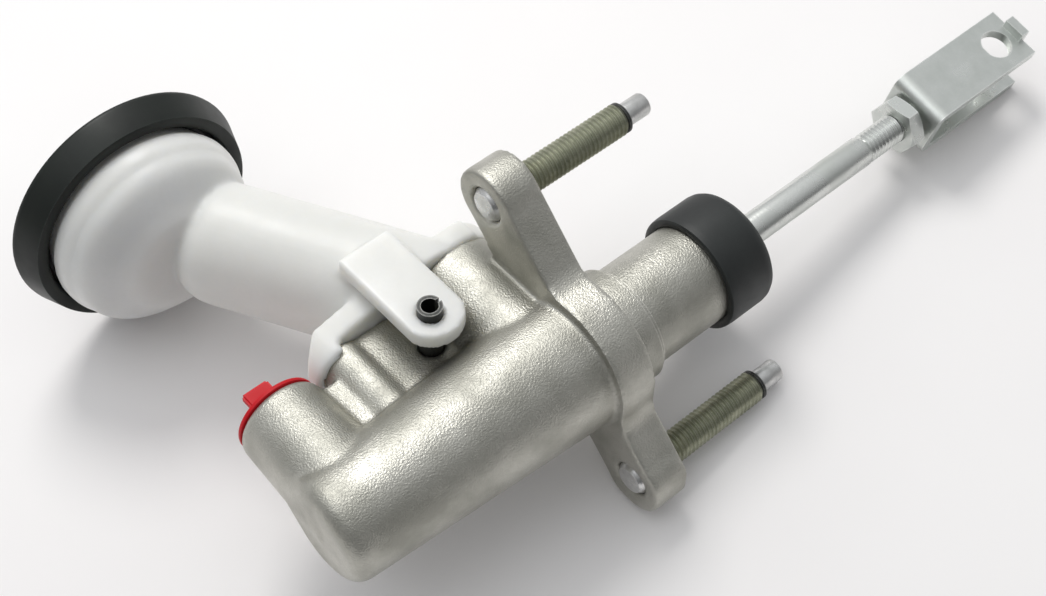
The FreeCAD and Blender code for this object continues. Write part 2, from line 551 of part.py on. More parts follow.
def make_cap():
    body = turned_about_bowl("reservoir_cap", [
        ("0", "neck_top_y + seal_thick"), ("cap_under_rad", "neck_top_y + seal_thick"), ("cap_under_rad", "cap_low_y"),
        ("cap_low_rad", "cap_low_y"), ("cap_top_rad", "cap_top_y"), ("0", "cap_top_y")])
    round_edges(body, lambda e: is_circle(e, AXIS_Y, size("cap_top_rad"), size("cap_top_y")), "cap_edge_round")
    return body


def turned_about_bowl(label, points):
    """A body turned about the bowl's upright axis; points are radius and height."""
    body = new_body(label)
    sketch = new_sketch(body, label + "_section", "XY_Plane", ("bowl_x", "0", "0"))
    add_outline(sketch, points)
    revolve(body, sketch, "V_Axis")
    return body


def make_seal():
    """Rubber diaphragm on the neck, with a cup that hangs into the bowl."""
    return turned_about_bowl("cap_seal", [
        ("0", "neck_top_y - seal_cup_depth"), ("seal_cup_rad", "neck_top_y - seal_cup_depth"),
        ("seal_cup_rad", "neck_top_y"), ("seal_rad", "neck_top_y"), ("seal_rad", "neck_top_y + seal_thick"),
        ("seal_cup_rad - seal_thick", "neck_top_y + seal_thick"),
        ("seal_cup_rad - seal_thick", "neck_top_y - seal_cup_depth + seal_thick"),
        ("0", "neck_top_y - seal_cup_depth + seal_thick")])


def make_grommet():
    """Rubber sleeve between the spigot and the well, with a lip under the spigot."""
    body = new_body("reservoir_grommet")
    sketch = new_sketch(body, "grommet_section", "XY_Plane", ("well_x", "0", "0"))
    add_outline(sketch, [
        ("grommet_lip_rad", "grommet_low_y"), ("well_rad", "grommet_low_y"), ("well_rad", "grommet_top_y"),
        ("spigot_rad", "grommet_top_y"), ("spigot_rad", "spigot_low_y"), ("grommet_lip_rad", "spigot_low_y")])
    revolve(body, sketch, "V_Axis")
    return body


def make_roll_pin():
    body = new_body("roll_pin")
    ring = new_sketch(body, "roll_pin_ring", "XY_Plane")
    add_circle(ring, "ear_x", "pin_y", "pin_rad")
    add_circle(ring, "ear_x", "pin_y", "pin_rad - pin_wall")
    extrude(body, ring, "ear_top_z*2 + pin_proud*2", both=True)
    slot = new_sketch(body, "roll_pin_slot", "XY_Plane")
    add_outline(slot, box_outline("ear_x", "ear_x + pin_rad + 1", "pin_y - pin_slot/2", "pin_y + pin_slot/2"))
    extrude(body, slot, "ear_top_z*2 + pin_proud*2 + 2", cut=True, both=True)
    return body


def turned_about_port(label, points):
    """A body turned about the outlet port's axis; points are radius and height."""
    body = new_body(label)
    sketch = new_sketch(body, label + "_section", "XY_Plane", ("boss_x", "0", "0"))
    add_outline(sketch, points)
    revolve(body, sketch, "V_Axis")
    return body


def make_outlet_seat():
    return turned_about_port("outlet_seat", [
        ("seat_hole_rad", "outlet_floor_y"), ("outlet_rad", "outlet_floor_y"), ("outlet_rad", "outlet_floor_y + seat_len*0.6"),
        ("seat_hole_rad*2", "outlet_floor_y + seat_len"), ("seat_hole_rad", "outlet_floor_y + seat_len")])


def make_plug():
    """Red transport plug: hollow shank, rim on the boss, pull tab."""
    shank = "outlet_rad - plug_gap"
    body = turned_about_port("outlet_plug", [
        (shank + " - plug_wall", "boss_top_y - plug_shank_len"), (shank, "boss_top_y - plug_shank_len"),
        (shank, "boss_top_y"), ("plug_rim_rad", "boss_top_y"), ("plug_rim_rad", "boss_top_y + plug_rim_thick"),
        ("0", "boss_top_y + plug_rim_thick"), ("0", "boss_top_y"), (shank + " - plug_wall", "boss_top_y")])
    tab = new_sketch(body, "plug_tab", "XZ_Plane", ("0", "0", "0 - boss_top_y - plug_rim_thick/2"))
    add_outline(tab, box_outline("boss_x - plug_tab_w/2", "boss_x + plug_tab_w/2", "0 - plug_tab_t/2", "plug_tab_t/2"))
    extrude(body, tab, "plug_rim_thick/2 + plug_tab_h", flip=True)
    return body


CUP_BACK = "piston_x0 - washer_thick"
SEAT_BACK = CUP_BACK + " - cup_base"
SEAT_FRONT = SEAT_BACK + " - spring_seat_thick"
NOSE_HOLE = "piston_nose_rad + nose_gap"


def make_piston():
    skirt = "bore_rad - piston_gap"
    body = turned("piston", [
        (SEAT_FRONT, "0"), (SEAT_FRONT, "piston_nose_rad"), ("piston_x0", "piston_nose_rad"), ("piston_x0", skirt),
        ("piston_waist_x0", skirt), ("piston_waist_x0", "piston_waist_rad"), ("piston_waist_x1", "piston_waist_rad"),
        ("piston_waist_x1", skirt), ("sec_groove_x", skirt), ("sec_groove_x", "sec_groove_rad"),
        ("sec_groove_x + sec_groove_len", "sec_groove_rad"), ("sec_groove_x + sec_groove_len", skirt),
        ("piston_x1", skirt), ("piston_x1", "0")])
    socket = new_sketch(body, "ball_socket", "XY_Plane")
    add_half_disc(socket, "ball_x", "ball_rad + ball_gap")
    revolve(body, socket, cut=True)
    mouth = new_sketch(body, "socket_mouth", "XY_Plane")
    add_outline(mouth, [
        ("ball_x", "0"), ("ball_x", "socket_mouth_rad"), ("piston_x1 - socket_mouth_bevel", "socket_mouth_rad"),
        ("piston_x1", "socket_mouth_rad + socket_mouth_bevel"), ("piston_x1", "0")])
    revolve(body, mouth, cut=True)
    return body


def make_primary_cup():
    outer = "bore_rad - cup_gap"
    return turned("primary_cup", [
        (CUP_BACK, NOSE_HOLE), (CUP_BACK, outer), (CUP_BACK + " - cup_len", outer),
        (CUP_BACK + " - cup_len", outer + " - cup_lip"), (SEAT_BACK, outer + " - cup_lip"), (SEAT_BACK, NOSE_HOLE)])


def make_secondary_cup():
    """U-shaped cup in the piston's rear groove, lips towards the fluid."""
    x0 = "sec_groove_x + nose_gap"
    x1 = "sec_groove_x + sec_groove_len - nose_gap"
    outer = "bore_rad - cup_gap"
    return turned("secondary_cup", [
        (x0, "sec_groove_rad"), (x1, "sec_groove_rad"), (x1, outer), (x0, outer), (x0, outer + " - cup_lip/2"),
        (x1 + " - cup_base", "sec_groove_rad/2 + bore_rad/2"), (x0, "sec_groove_rad + cup_lip/2")])


def make_cup_washer():
    return turned("cup_washer", [
        (CUP_BACK, NOSE_HOLE), ("piston_x0", NOSE_HOLE), ("piston_x0", "washer_rad"), (CUP_BACK, "washer_rad")])


def make_spring_seat():
    return turned("spring_seat", [
        (SEAT_FRONT, NOSE_HOLE), (SEAT_BACK, NOSE_HOLE), (SEAT_BACK, "spring_seat_rad"), (SEAT_FRONT, "spring_seat_rad")])


def make_return_spring():
    body = new_body("return_spring")
    wire = new_sketch(body, "spring_wire", "XY_Plane", ("bore_end_x + spring_wire_rad", "0", "0"))
    add_circle(wire, "0", "spring_rad", "spring_wire_rad")
    coil = body.newObject("PartDesign::AdditiveHelix", "spring_coil")
    coil.Profile = wire
    coil.ReferenceAxis = (wire, ["H_Axis"])
    coil.Mode = "height-turns-angle"
    length = SEAT_FRONT + " - bore_end_x - spring_wire_rad*2"
    coil.Height = value(length)
    coil.setExpression("Height", bound(length))
    coil.Turns = value("spring_turns")
    coil.setExpression("Turns", bound("spring_turns"))
    body.Tip = coil
    return body


def make_stop_plate():
    start = "snout_end_x - mouth_depth"
    return turned("stop_plate", [
        (start, "plate_hole_rad"), (start + " + plate_thick", "plate_hole_rad"),
        (start + " + plate_thick", "mouth_rad - plate_gap"), (start, "mouth_rad - plate_gap")])


def make_snap_ring():
    """Open ring in the groove of the mouth, its gap facing down the bench."""
    body = new_body("snap_ring")
    sketch = new_sketch(body, "snap_ring_section", "XY_Plane")
    start = "ring_groove_x + ring_gap"
    add_outline(sketch, box_outline(start, start + " + ring_thick", "ring_inner_rad", "ring_groove_rad - ring_gap"))
    revolve(body, sketch, angle="360 - ring_gap_deg")
    return body


def make_dust_boot():
    grip = "snout_rad + boot_inner_gap"
    bead = "seat_groove_rad + boot_bead_gap"
    bead_x = "seat_groove_x + boot_bead_gap"
    body = turned("dust_boot", [
        ("boot_x0", grip), ("boot_x0", "boot_rad"), ("boot_x1", "boot_rad"), ("boot_x1", "boot_hole_rad"),
        ("boot_x1 - boot_face", "boot_hole_rad"), ("boot_x1 - boot_face", grip), (bead_x + " + boot_bead_len", grip),
        (bead_x + " + boot_bead_len", bead), (bead_x, bead), (bead_x, grip)])
    round_edges(body, lambda e: is_circle(e, AXIS_X, size("boot_rad"), size("boot_x1")), "boot_round")
    return body


def make_push_rod():
    """Rod with its ball end, neck, shank and threaded tail."""
    body = turned("push_rod", [
        ("ball_x", "0"), ("ball_x", "rod_neck_rad"), ("rod_neck_end_x - 1", "rod_neck_rad"), ("rod_neck_end_x", "rod_rad"),
        ("rod_shank_end_x", "rod_rad"), ("rod_shank_end_x", "rod_thread_rad"), ("rod_end_x - 0.8", "rod_thread_rad"),
        ("rod_end_x", "rod_thread_rad - 0.8"), ("rod_end_x", "0")])
    ball = new_sketch(body, "rod_ball", "XY_Plane")
    add_half_disc(ball, "ball_x", "ball_rad")
    revolve(body, ball)
    return body


def turned_about_rod(body, angle):
    body.Placement = Placement(Vector(0, 0, 0), Rotation(AXIS_X, size(angle)))
    body.setExpression("Placement.Rotation.Angle", bound(angle))


def make_lock_nut():
    body = new_body("lock_nut")
    hexagon = new_sketch(body, "nut_hexagon", "YZ_Plane", ("0", "0", "nut_x0"))
    short = "nut_across*0.288675"
    corner = "nut_across*0.57735"
    half = "nut_across/2"
    add_outline(hexagon, [
        (corner, "0"), (short, half), ("0 - " + short, half), ("0 - " + corner, "0"), ("0 - " + short, "0 - " + half),
        (short, "0 - " + half)])
    extrude(body, hexagon, "nut_thick")
    bevel = new_sketch(body, "nut_bevels", "XY_Plane")
    for face, inward in (("nut_x0", "nut_x0 + nut_bevel"), ("nut_x0 + nut_thick", "nut_x0 + nut_thick - nut_bevel")):
        add_outline(bevel, [(face, half), (inward, corner + " + 1"), (face, corner + " + 1")])
    revolve(body, bevel, cut=True)
    hole = new_sketch(body, "nut_hole", "YZ_Plane", ("0", "0", "nut_x0 + nut_thick"))
    add_circle(hole, "0", "0", "rod_thread_rad + thread_gap")
    extrude(body, hole, "nut_thick", cut=True)
    turned_about_rod(body, "nut_turn_deg")
    return body


def make_clevis():
    """Folded strip clevis: bridge on the rod, two ears, D-shaped pin holes and end tab."""
    body = new_body("clevis")
    fold = new_sketch(body, "clevis_fold", "XZ_Plane")
    inner_x = "clevis_x0 + clevis_thick"
    inner_h = "clevis_half_h - clevis_thick"
    add_outline(fold, [
        ("clevis_x1", "clevis_half_h"), ("clevis_x0", "clevis_half_h"), ("clevis_x0", "0 - clevis_half_h"),
        ("clevis_x1", "0 - clevis_half_h"), ("clevis_x1", "0 - clevis_half_h + clevis_thick"),
        (inner_x, "0 - clevis_half_h + clevis_thick"), (inner_x, inner_h), ("clevis_x1", inner_h)])
    extrude(body, fold, "clevis_half_w*2", both=True)

    def runs_along(edge, x, z, axis):
        middle = edge.CenterOfMass
        ends = edge.Vertexes
        straight = len(ends) == 2 and abs((ends[1].Point - ends[0].Point).normalize().dot(axis)) > 0.999
        return straight and abs(middle.x - x) < 0.01 and abs(abs(middle.z) - z) < 0.01

    outer = (size("clevis_x0"), size("clevis_half_h"))
    inner = (value(inner_x), value(inner_h))
    round_edges(body, lambda e: runs_along(e, *outer, AXIS_Y), "clevis_bend")
    round_edges(body, lambda e: runs_along(e, *inner, AXIS_Y), "clevis_bend - clevis_thick")
    tab = new_sketch(body, "clevis_tab", "XZ_Plane")
    add_outline(tab, box_outline("clevis_x1 + tab_shift - clevis_thick", "clevis_x1 + tab_shift", inner_h, inner_h + " + tab_rise"))
    extrude(body, tab, "tab_half*2", both=True)
    pin_holes = new_sketch(body, "clevis_pin_holes", "XY_Plane")
    add_flatted_circle(pin_holes, "clevis_pin_x", "0", "clevis_pin_rad", "clevis_flat")
    extrude(body, pin_holes, "clevis_half_h*2 + 2", cut=True, both=True)
    rod_hole = new_sketch(body, "clevis_rod_hole", "YZ_Plane", ("0", "0", inner_x))
    add_circle(rod_hole, "0", "0", "rod_thread_rad + thread_gap")
    extrude(body, rod_hole, "clevis_thick", cut=True)
    turned_about_rod(body, "clevis_turn_deg")
    return body


bodies = [
    make_cylinder_body(), make_stud("stud_upper", "stud_up_dist", 1), make_stud("stud_lower", "stud_low_dist", -1),
    make_reservoir(), make_cap(), make_seal(), make_grommet(), make_roll_pin(), make_outlet_seat(), make_plug(),
    make_piston(), make_primary_cup(), make_secondary_cup(), make_cup_washer(), make_spring_seat(), make_return_spring(),
    make_stop_plate(), make_snap_ring(), make_dust_boot(), make_push_rod(), make_lock_nut(), make_clevis(),
]
doc.recompute()

faulty = [o.Name for o in doc.Objects if "Invalid" in o.State or "Error" in o.State]
if faulty:
    raise RuntimeError(f"objects in error: {faulty}")
for body in bodies:
    if body.Shape.isNull() or not body.Shape.isValid() or not body.Shape.Solids:
        raise RuntimeError(f"{body.Label}: no valid solid")
    if len(body.Shape.Solids) != 1:
        raise RuntimeError(f"{body.Label}: {len(body.Shape.Solids)} solids")
for body in bodies:
    body.Shape.exportStep(f"parts/{body.Label}.step")
    box = body.Shape.BoundBox
    print(f"{body.Label}: volume {body.Shape.Volume:.1f} x {box.XMin:.2f} {box.XMax:.2f}"
          f" y {box.YMin:.2f} {box.YMax:.2f} z {box.ZMin:.2f} {box.ZMax:.2f}")
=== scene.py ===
import math

import bmesh
import bpy
import numpy as np
from bpy.props import FloatProperty, IntProperty, PointerProperty
from mathutils import Matrix, Vector


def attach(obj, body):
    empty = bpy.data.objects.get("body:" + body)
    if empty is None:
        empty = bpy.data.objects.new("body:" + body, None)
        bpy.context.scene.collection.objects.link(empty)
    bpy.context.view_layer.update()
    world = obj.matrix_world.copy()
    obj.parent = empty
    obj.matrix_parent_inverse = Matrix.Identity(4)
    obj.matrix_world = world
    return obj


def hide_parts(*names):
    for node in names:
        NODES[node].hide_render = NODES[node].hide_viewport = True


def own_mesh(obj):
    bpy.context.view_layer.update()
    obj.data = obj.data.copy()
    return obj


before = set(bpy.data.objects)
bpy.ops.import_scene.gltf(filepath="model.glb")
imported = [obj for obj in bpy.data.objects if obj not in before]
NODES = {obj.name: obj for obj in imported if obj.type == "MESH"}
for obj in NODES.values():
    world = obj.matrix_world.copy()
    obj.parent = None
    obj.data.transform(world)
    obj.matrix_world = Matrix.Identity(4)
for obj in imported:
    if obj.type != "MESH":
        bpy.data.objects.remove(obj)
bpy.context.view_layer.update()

bl_info = {
    "name": "Clutch master cylinder looks",
    "version": (1, 0, 0),
    "blender": (4, 5, 0),
    "location": "3D View > Sidebar > Part",
    "description": "Dresses the packed clutch master cylinder and lights it",
    "category": "Object",
}

MM = 0.001

# Places on the part, in millimetres
BORE_RAD = 7.94
BORE_CLEARANCE = 0.04
BOWL_X = -59.1
BOSS_X = -68.8
TUBE_START = (-21.2, 29.8)
TUBE_LEAN = math.radians(29.4)
STUD_AXES = {"stud_upper": 40.9 / math.sqrt(2), "stud_lower": -32.6 / math.sqrt(2)}

# The photograph's camera, solved from the part's edges
CAMERA_PLACE = (-178.5947, -169.0715, 336.1025)
CAMERA_RIGHT = (0.75176031, -0.65925306, 0.01555139)
CAMERA_UP = (0.51704726, 0.60390919, 0.60659362)
CAMERA_BACK = (-0.40929033, -0.44797221, 0.79485994)
CAMERA_LENS = 61.95
CAMERA_SENSOR = 36.0

# Limits of the casting's regions in millimetres: X and Y places, and radii from the bore's axis
VALLEY_X = (-66, -8)
VALLEY_LOW_Y = 6
VALLEY_RAD = 22
RIM_X = (-12, -4)
RIM_RAD = 21
TURRET_LOW_Y = 8
TURRET_HALF_WIDTH = 16
BORE_X = (-71, 0)
BORE_LEAST_RAD = 7.0
SNOUT_CUT_X = 0.02
SNOUT_X = 0.45
UNDER_PILOT_X = -1.0
UNDER_PILOT_RAD = 14.4
ROUGH_SNOUT_X = 7.6
ROUGH_SNOUT_RAD = 12.5

# Changes to the reservoir's foot and ears, in millimetres: as packed, and as the photograph shows them
FOOT_Y = (30, 41)
FOOT_END_X = -45
FOOT_CENTRE_X = -49.0
FOOT_RAD = 8.6
FOOT_SHOWN_X = -49.6
FOOT_SHOWN_RAD = 8.0
FOOT_SHOWN_LOW_Y = 31.7
FOOT_SLANT = [(-59.7, 33.3), (-48.1, 43.3), (-60.0, 43.3)]
FOOT_SLANT_HALF_WIDTH = 12
PIN_X = -32.7
PIN_Y = 21.0
PIN_RAD = 4.0
PIN_SHOWN_X = -32.1
EAR_INSIDE_Z = 12.9
EAR_TOP_Y = 46.5
EAR_GROWTH = 7.4 / 6.8
EAR_SPLIT_Y = 21.5
EAR_DROP = 0.5
UPPER_BLOCK = ((-120, 58, -50), (20, 130, 50))

# How fine the meshes are: merged distance in metres, sides of turned forms, share of faces kept
MERGED = 1e-6
SIDES = 72
WIDE_SIDES = 96
CAP_SIDES = 128
STUD_SIDES = 48
ROD_SIDES = 64
CAST_KEPT = 0.45
BOWL_KEPT = 0.5

# Edges are sharp above these angles, in degrees
SHARP_ANGLE = 32.0
CASTING_ANGLE = 38.0
RESERVOIR_ANGLE = 50.0
CAP_ANGLE = 28.0
SOFT_ANGLE = 40.0


# Mesh helpers

def new_object(name, mesh):
    """Links a mesh to the scene as an object at the origin."""
    obj = bpy.data.objects.new(name, mesh)
    bpy.context.scene.collection.objects.link(obj)
    return obj


def axis_frame(origin, axis):
    """A matrix that takes Z to the axis and the origin to its place, both in metres."""
    return Matrix.Translation(origin) @ Vector(axis).to_track_quat("Z", "Y").to_matrix().to_4x4()


def upright(x):
    """A matrix that takes Z to the part's Y, over a place on the bore's axis."""
    return Matrix.Translation((x * MM, 0, 0)) @ Matrix.Rotation(-math.pi / 2, 4, "X")


def forward(across):
    """A matrix that takes Z to the part's X, with the origin as far up Y as along Z."""
    return axis_frame(Vector((0, across, across)) * MM, (1, 0, 0))


def add_lathe(bm, profile, place, count=SIDES, slot=None):
    """Turns a profile of (radius, height) in millimetres about Z and puts it in place."""
    rings = []
    for radius, height in profile:
        ring = []
        for i in range(count if radius else 1):
            angle = 2 * math.pi * i / count
            x = radius * math.cos(angle) * MM
            y = radius * math.sin(angle) * MM
            ring.append(bm.verts.new(place @ Vector((x, y, height * MM))))
        rings.append(ring)
    for low, high in zip(rings, rings[1:]):
        for i in range(count):
            j = (i + 1) % count
            corners = [low[i % len(low)], low[j % len(low)], high[j % len(high)], high[i % len(high)]]
            face = bm.faces.new(list(dict.fromkeys(corners)))
            if slot:
                face.material_index = slot(face.calc_center_median() / MM)
    return rings


def finish_mesh(bm, name, materials, sharp=SHARP_ANGLE):
    """Turns a bmesh into an object with outward normals and sharp edges by angle."""
    bmesh.ops.recalc_face_normals(bm, faces=bm.faces)
    mesh = bpy.data.meshes.new(name)
    bm.to_mesh(mesh)
    bm.free()
    for material in materials:
        mesh.materials.append(material)
    shade(mesh, sharp)
    return new_object(name, mesh)


def shade(mesh, sharp):
    """Smooth shading with sharp edges above an angle in degrees."""
    mesh.shade_smooth()
    mesh.set_sharp_from_angle(angle=math.radians(sharp))


def applied(obj):
    """Applies an object's modifiers by taking its evaluated mesh."""
    bpy.context.view_layer.update()
    graph = bpy.context.evaluated_depsgraph_get()
    mesh = bpy.data.meshes.new_from_object(obj.evaluated_get(graph), depsgraph=graph)
    old = obj.data
    obj.modifiers.clear()
    obj.data = mesh
    bpy.data.meshes.remove(old)
    return obj


def remeshed(obj, voxel):
    """Joins the closed shells of an object into one skin of even quads."""
    step = obj.modifiers.new("remesh", "REMESH")
    step.mode = "VOXEL"
    step.voxel_size = voxel
    return applied(obj)


def smoothed(obj, rounds, weight=None):
    """Smooths an object; weight gives each vertex a share from its place in millimetres."""
    step = obj.modifiers.new("smooth", "SMOOTH")
    step.iterations = rounds
    if weight:
        group = obj.vertex_groups.new(name="weight")
        for vertex in obj.data.vertices:
            share = weight(vertex.co / MM)
            if share > 0:
                group.add([vertex.index], share, "REPLACE")
        step.vertex_group = group.name
    applied(obj)
    obj.vertex_groups.clear()
    return obj


def thinned(obj, ratio):
    """Keeps a share of an object's faces."""
    step = obj.modifiers.new("thin", "DECIMATE")
    step.ratio = ratio
    return applied(obj)


def cut_by(obj, cutter):
    """Cuts one closed object by another, and removes the cutter."""
    step = obj.modifiers.new("cut", "BOOLEAN")
    step.operation = "DIFFERENCE"
    step.object = cutter
    step.solver = "EXACT"
    applied(obj)
    bpy.data.objects.remove(cutter)
    return obj


def copy_of(node, name):
    """A new object with a copy of a node's mesh, its doubled vertices merged."""
    bm = bmesh.new()
    bm.from_mesh(NODES[node].data)
    bmesh.ops.remove_doubles(bm, verts=bm.verts, dist=MERGED)
    mesh = bpy.data.meshes.new(name)
    bm.to_mesh(mesh)
    bm.free()
    drop_packed_normals(mesh)
    return new_object(name, mesh)


def drop_packed_normals(mesh):
    """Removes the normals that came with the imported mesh, which its new faces no longer fit."""
    packed = mesh.attributes.get("custom_normal")
    if packed:
        mesh.attributes.remove(packed)


def add_box(bm, low, high):
    """A plain box between two corners in millimetres."""
    centre = [(a + b) / 2 * MM for a, b in zip(low, high)]
    sides = [(b - a) * MM for a, b in zip(low, high)]
    place = Matrix.Translation(centre) @ Matrix.Diagonal((*sides, 1.0))
    bmesh.ops.create_cube(bm, size=1.0, matrix=place)


def stand_in(obj, body, slot, *nodes):
    """Makes a piece ride on its body in place of its nodes."""
    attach(obj, body)
    if nodes:
        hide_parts(*nodes)
    return obj


# Materials

def new_group(name, sockets_in, sockets_out):
    """A shader node group with named sockets; returns the tree and its two end nodes."""
    tree = bpy.data.node_groups.new(name, "ShaderNodeTree")
    for label, kind, default in sockets_in:
        socket = tree.interface.new_socket(name=label, in_out="INPUT", socket_type=kind)
        socket.default_value = default
    for label, kind in sockets_out:
        tree.interface.new_socket(name=label, in_out="OUTPUT", socket_type=kind)
    return tree, tree.nodes.new("NodeGroupInput"), tree.nodes.new("NodeGroupOutput")


def node(tree, kind, **values):
    """Adds a node; names that match an input set it, the rest are properties."""
    made = tree.nodes.new(kind)
    for label, setting in values.items():
        words = label.replace("_", " ")
        match = next((s for s in made.inputs if s.name.lower() == words), None)
        if match is None:
            setattr(made, label, setting)
        else:
            match.default_value = setting
    return made


def math_node(tree, operation, first, second, clamp=False):
    """A sum of two values, each a number or a socket; returns its socket."""
    made = node(tree, "ShaderNodeMath", operation=operation, use_clamp=clamp)
    for index, source in enumerate([first, second]):
        if isinstance(source, (int, float)):
            made.inputs[index].default_value = source
        else:
            tree.links.new(source, made.inputs[index])
    return made.outputs[0]


def noise_value(tree, vector, scale, detail=3.0, rough=0.5):
    """Noise over a vector; returns its socket."""
    made = node(tree, "ShaderNodeTexNoise", detail=detail, roughness=rough)
    tree.links.new(vector, made.inputs["Vector"])
    if isinstance(scale, (int, float)):
        made.inputs["Scale"].default_value = scale
    else:
        tree.links.new(scale, made.inputs["Scale"])
    return made.outputs["Fac"]


def spread_value(tree, value, low, high, to_low=0.0, to_high=1.0):
    """Stretches a value from one range to another; returns its socket."""
    made = node(tree, "ShaderNodeMapRange")
    tree.links.new(value, made.inputs["Value"])
    made.inputs["From Min"].default_value = low
    made.inputs["From Max"].default_value = high
    made.inputs["To Min"].default_value = to_low
    made.inputs["To Max"].default_value = to_high
    return made.outputs["Result"]


def mottle_group():
    """Fine grain, cloudy blotches and a mask of rare specks, all from object space."""
    found = bpy.data.node_groups.get("mottle")
    if found:
        return found
    tree, start, end = new_group(
        "mottle",
        [("Vector", "NodeSocketVector", (0, 0, 0)), ("Grain Scale", "NodeSocketFloat", 3000.0),
         ("Blotch Scale", "NodeSocketFloat", 60.0)],
        [("Grain", "NodeSocketFloat"), ("Blotch", "NodeSocketFloat"), ("Speck", "NodeSocketFloat")])
    vector = start.outputs["Vector"]
    grain = noise_value(tree, vector, start.outputs["Grain Scale"], 2.0, 0.6)
    blotch = noise_value(tree, vector, start.outputs["Blotch Scale"], 4.0, 0.55)
    speck_scale = math_node(tree, "MULTIPLY", start.outputs["Grain Scale"], 0.4)
    speck = noise_value(tree, vector, speck_scale, 1.0, 0.5)
    tree.links.new(grain, end.inputs["Grain"])
    tree.links.new(spread_value(tree, blotch, 0.35, 0.65), end.inputs["Blotch"])
    tree.links.new(spread_value(tree, speck, 0.66, 0.74), end.inputs["Speck"])
    return tree


def edge_group():
    """A mask of worn outer edges, from the difference between the true and a bevelled normal."""
    found = bpy.data.node_groups.get("edge_wear")
    if found:
        return found
    tree, start, end = new_group(
        "edge_wear", [("Vector", "NodeSocketVector", (0, 0, 0)), ("Amount", "NodeSocketFloat", 1.0)],
        [("Mask", "NodeSocketFloat")])
    bevel = node(tree, "ShaderNodeBevel", samples=4, radius=0.0006)
    geometry = node(tree, "ShaderNodeNewGeometry")
    dot = node(tree, "ShaderNodeVectorMath", operation="DOT_PRODUCT")
    tree.links.new(bevel.outputs["Normal"], dot.inputs[0])
    tree.links.new(geometry.outputs["Normal"], dot.inputs[1])
    turned = math_node(tree, "SUBTRACT", 1.0, dot.outputs["Value"])
    broken = noise_value(tree, start.outputs["Vector"], 900.0, 3.0)
    patchy = math_node(tree, "MULTIPLY", turned, spread_value(tree, broken, 0.3, 0.6, 0.4, 1.4))
    mask = math_node(tree, "MULTIPLY", patchy, start.outputs["Amount"], clamp=True)
    tree.links.new(mask, end.inputs["Mask"])
    return tree


def colour_mix(tree, factor, first, second):
    """Mixes two colours, each a tuple or a socket; returns its socket."""
    made = node(tree, "ShaderNodeMix", data_type="RGBA")
    tree.links.new(factor, made.inputs[0])
    for index, source in ((6, first), (7, second)):
        if isinstance(source, tuple):
            made.inputs[index].default_value = (*source, 1.0)
        else:
            tree.links.new(source, made.inputs[index])
    return made.outputs[2]


# How much the grain darkens a colour, and how far the gloss strays
GRAIN_SHARE = 0.35
ROUGH_SPREAD = 0.08


def surface(name, base, dark, edge, rough, metal=0.0, grain=3000.0, blotch=60.0, bump=0.3, depth=0.05,
            edge_amount=4.0, lines=None, constants=None):
    """A finished material: blotchy colour, worn edges, uneven gloss and a fine bump.

    lines adds turned or drawn marks as (axis, scale, strength), and constants go straight on the
    shader's sockets.
    """
    material = bpy.data.materials.new(name)
    material.use_nodes = True
    tree = material.node_tree
    shader = tree.nodes["Principled BSDF"]
    shader.inputs["Metallic"].default_value = metal
    for label, setting in (constants or {}).items():
        shader.inputs[label].default_value = setting
    place = node(tree, "ShaderNodeTexCoord").outputs["Object"]
    mottle = node(tree, "ShaderNodeGroup", node_tree=mottle_group())
    tree.links.new(place, mottle.inputs["Vector"])
    mottle.inputs["Grain Scale"].default_value = grain
    mottle.inputs["Blotch Scale"].default_value = blotch
    wear = node(tree, "ShaderNodeGroup", node_tree=edge_group())
    tree.links.new(place, wear.inputs["Vector"])
    wear.inputs["Amount"].default_value = edge_amount
    colour = colour_mix(tree, mottle.outputs["Blotch"], base, dark)
    fine = spread_value(tree, mottle.outputs["Grain"], 0.3, 0.7)
    colour = colour_mix(tree, math_node(tree, "MULTIPLY", fine, GRAIN_SHARE), colour, dark)
    colour = colour_mix(tree, wear.outputs["Mask"], colour, edge)
    tree.links.new(colour, shader.inputs["Base Color"])
    low, high = rough - ROUGH_SPREAD, rough + ROUGH_SPREAD
    gloss = spread_value(tree, mottle.outputs["Blotch"], 0.0, 1.0, low, high)
    tree.links.new(gloss, shader.inputs["Roughness"])
    height = mottle.outputs["Grain"]
    if lines:
        axis, scale, strength = lines
        wave = node(
            tree, "ShaderNodeTexWave", wave_type="BANDS", bands_direction=axis, scale=scale, distortion=1.5,
            detail=3.0)
        tree.links.new(place, wave.inputs["Vector"])
        marks = math_node(tree, "MULTIPLY", wave.outputs["Fac"], strength)
        height = math_node(tree, "ADD", math_node(tree, "MULTIPLY", height, 1.0 - strength), marks)
    relief = node(tree, "ShaderNodeBump", strength=bump, distance=depth * MM)
    tree.links.new(height, relief.inputs["Height"])
    tree.links.new(relief.outputs["Normal"], shader.inputs["Normal"])
    return material


MILKY = {"Subsurface Weight": 0.85, "Subsurface Radius": (1.0, 0.95, 0.85), "Subsurface Scale": 0.006}
DULL = {"Specular IOR Level": 0.3}

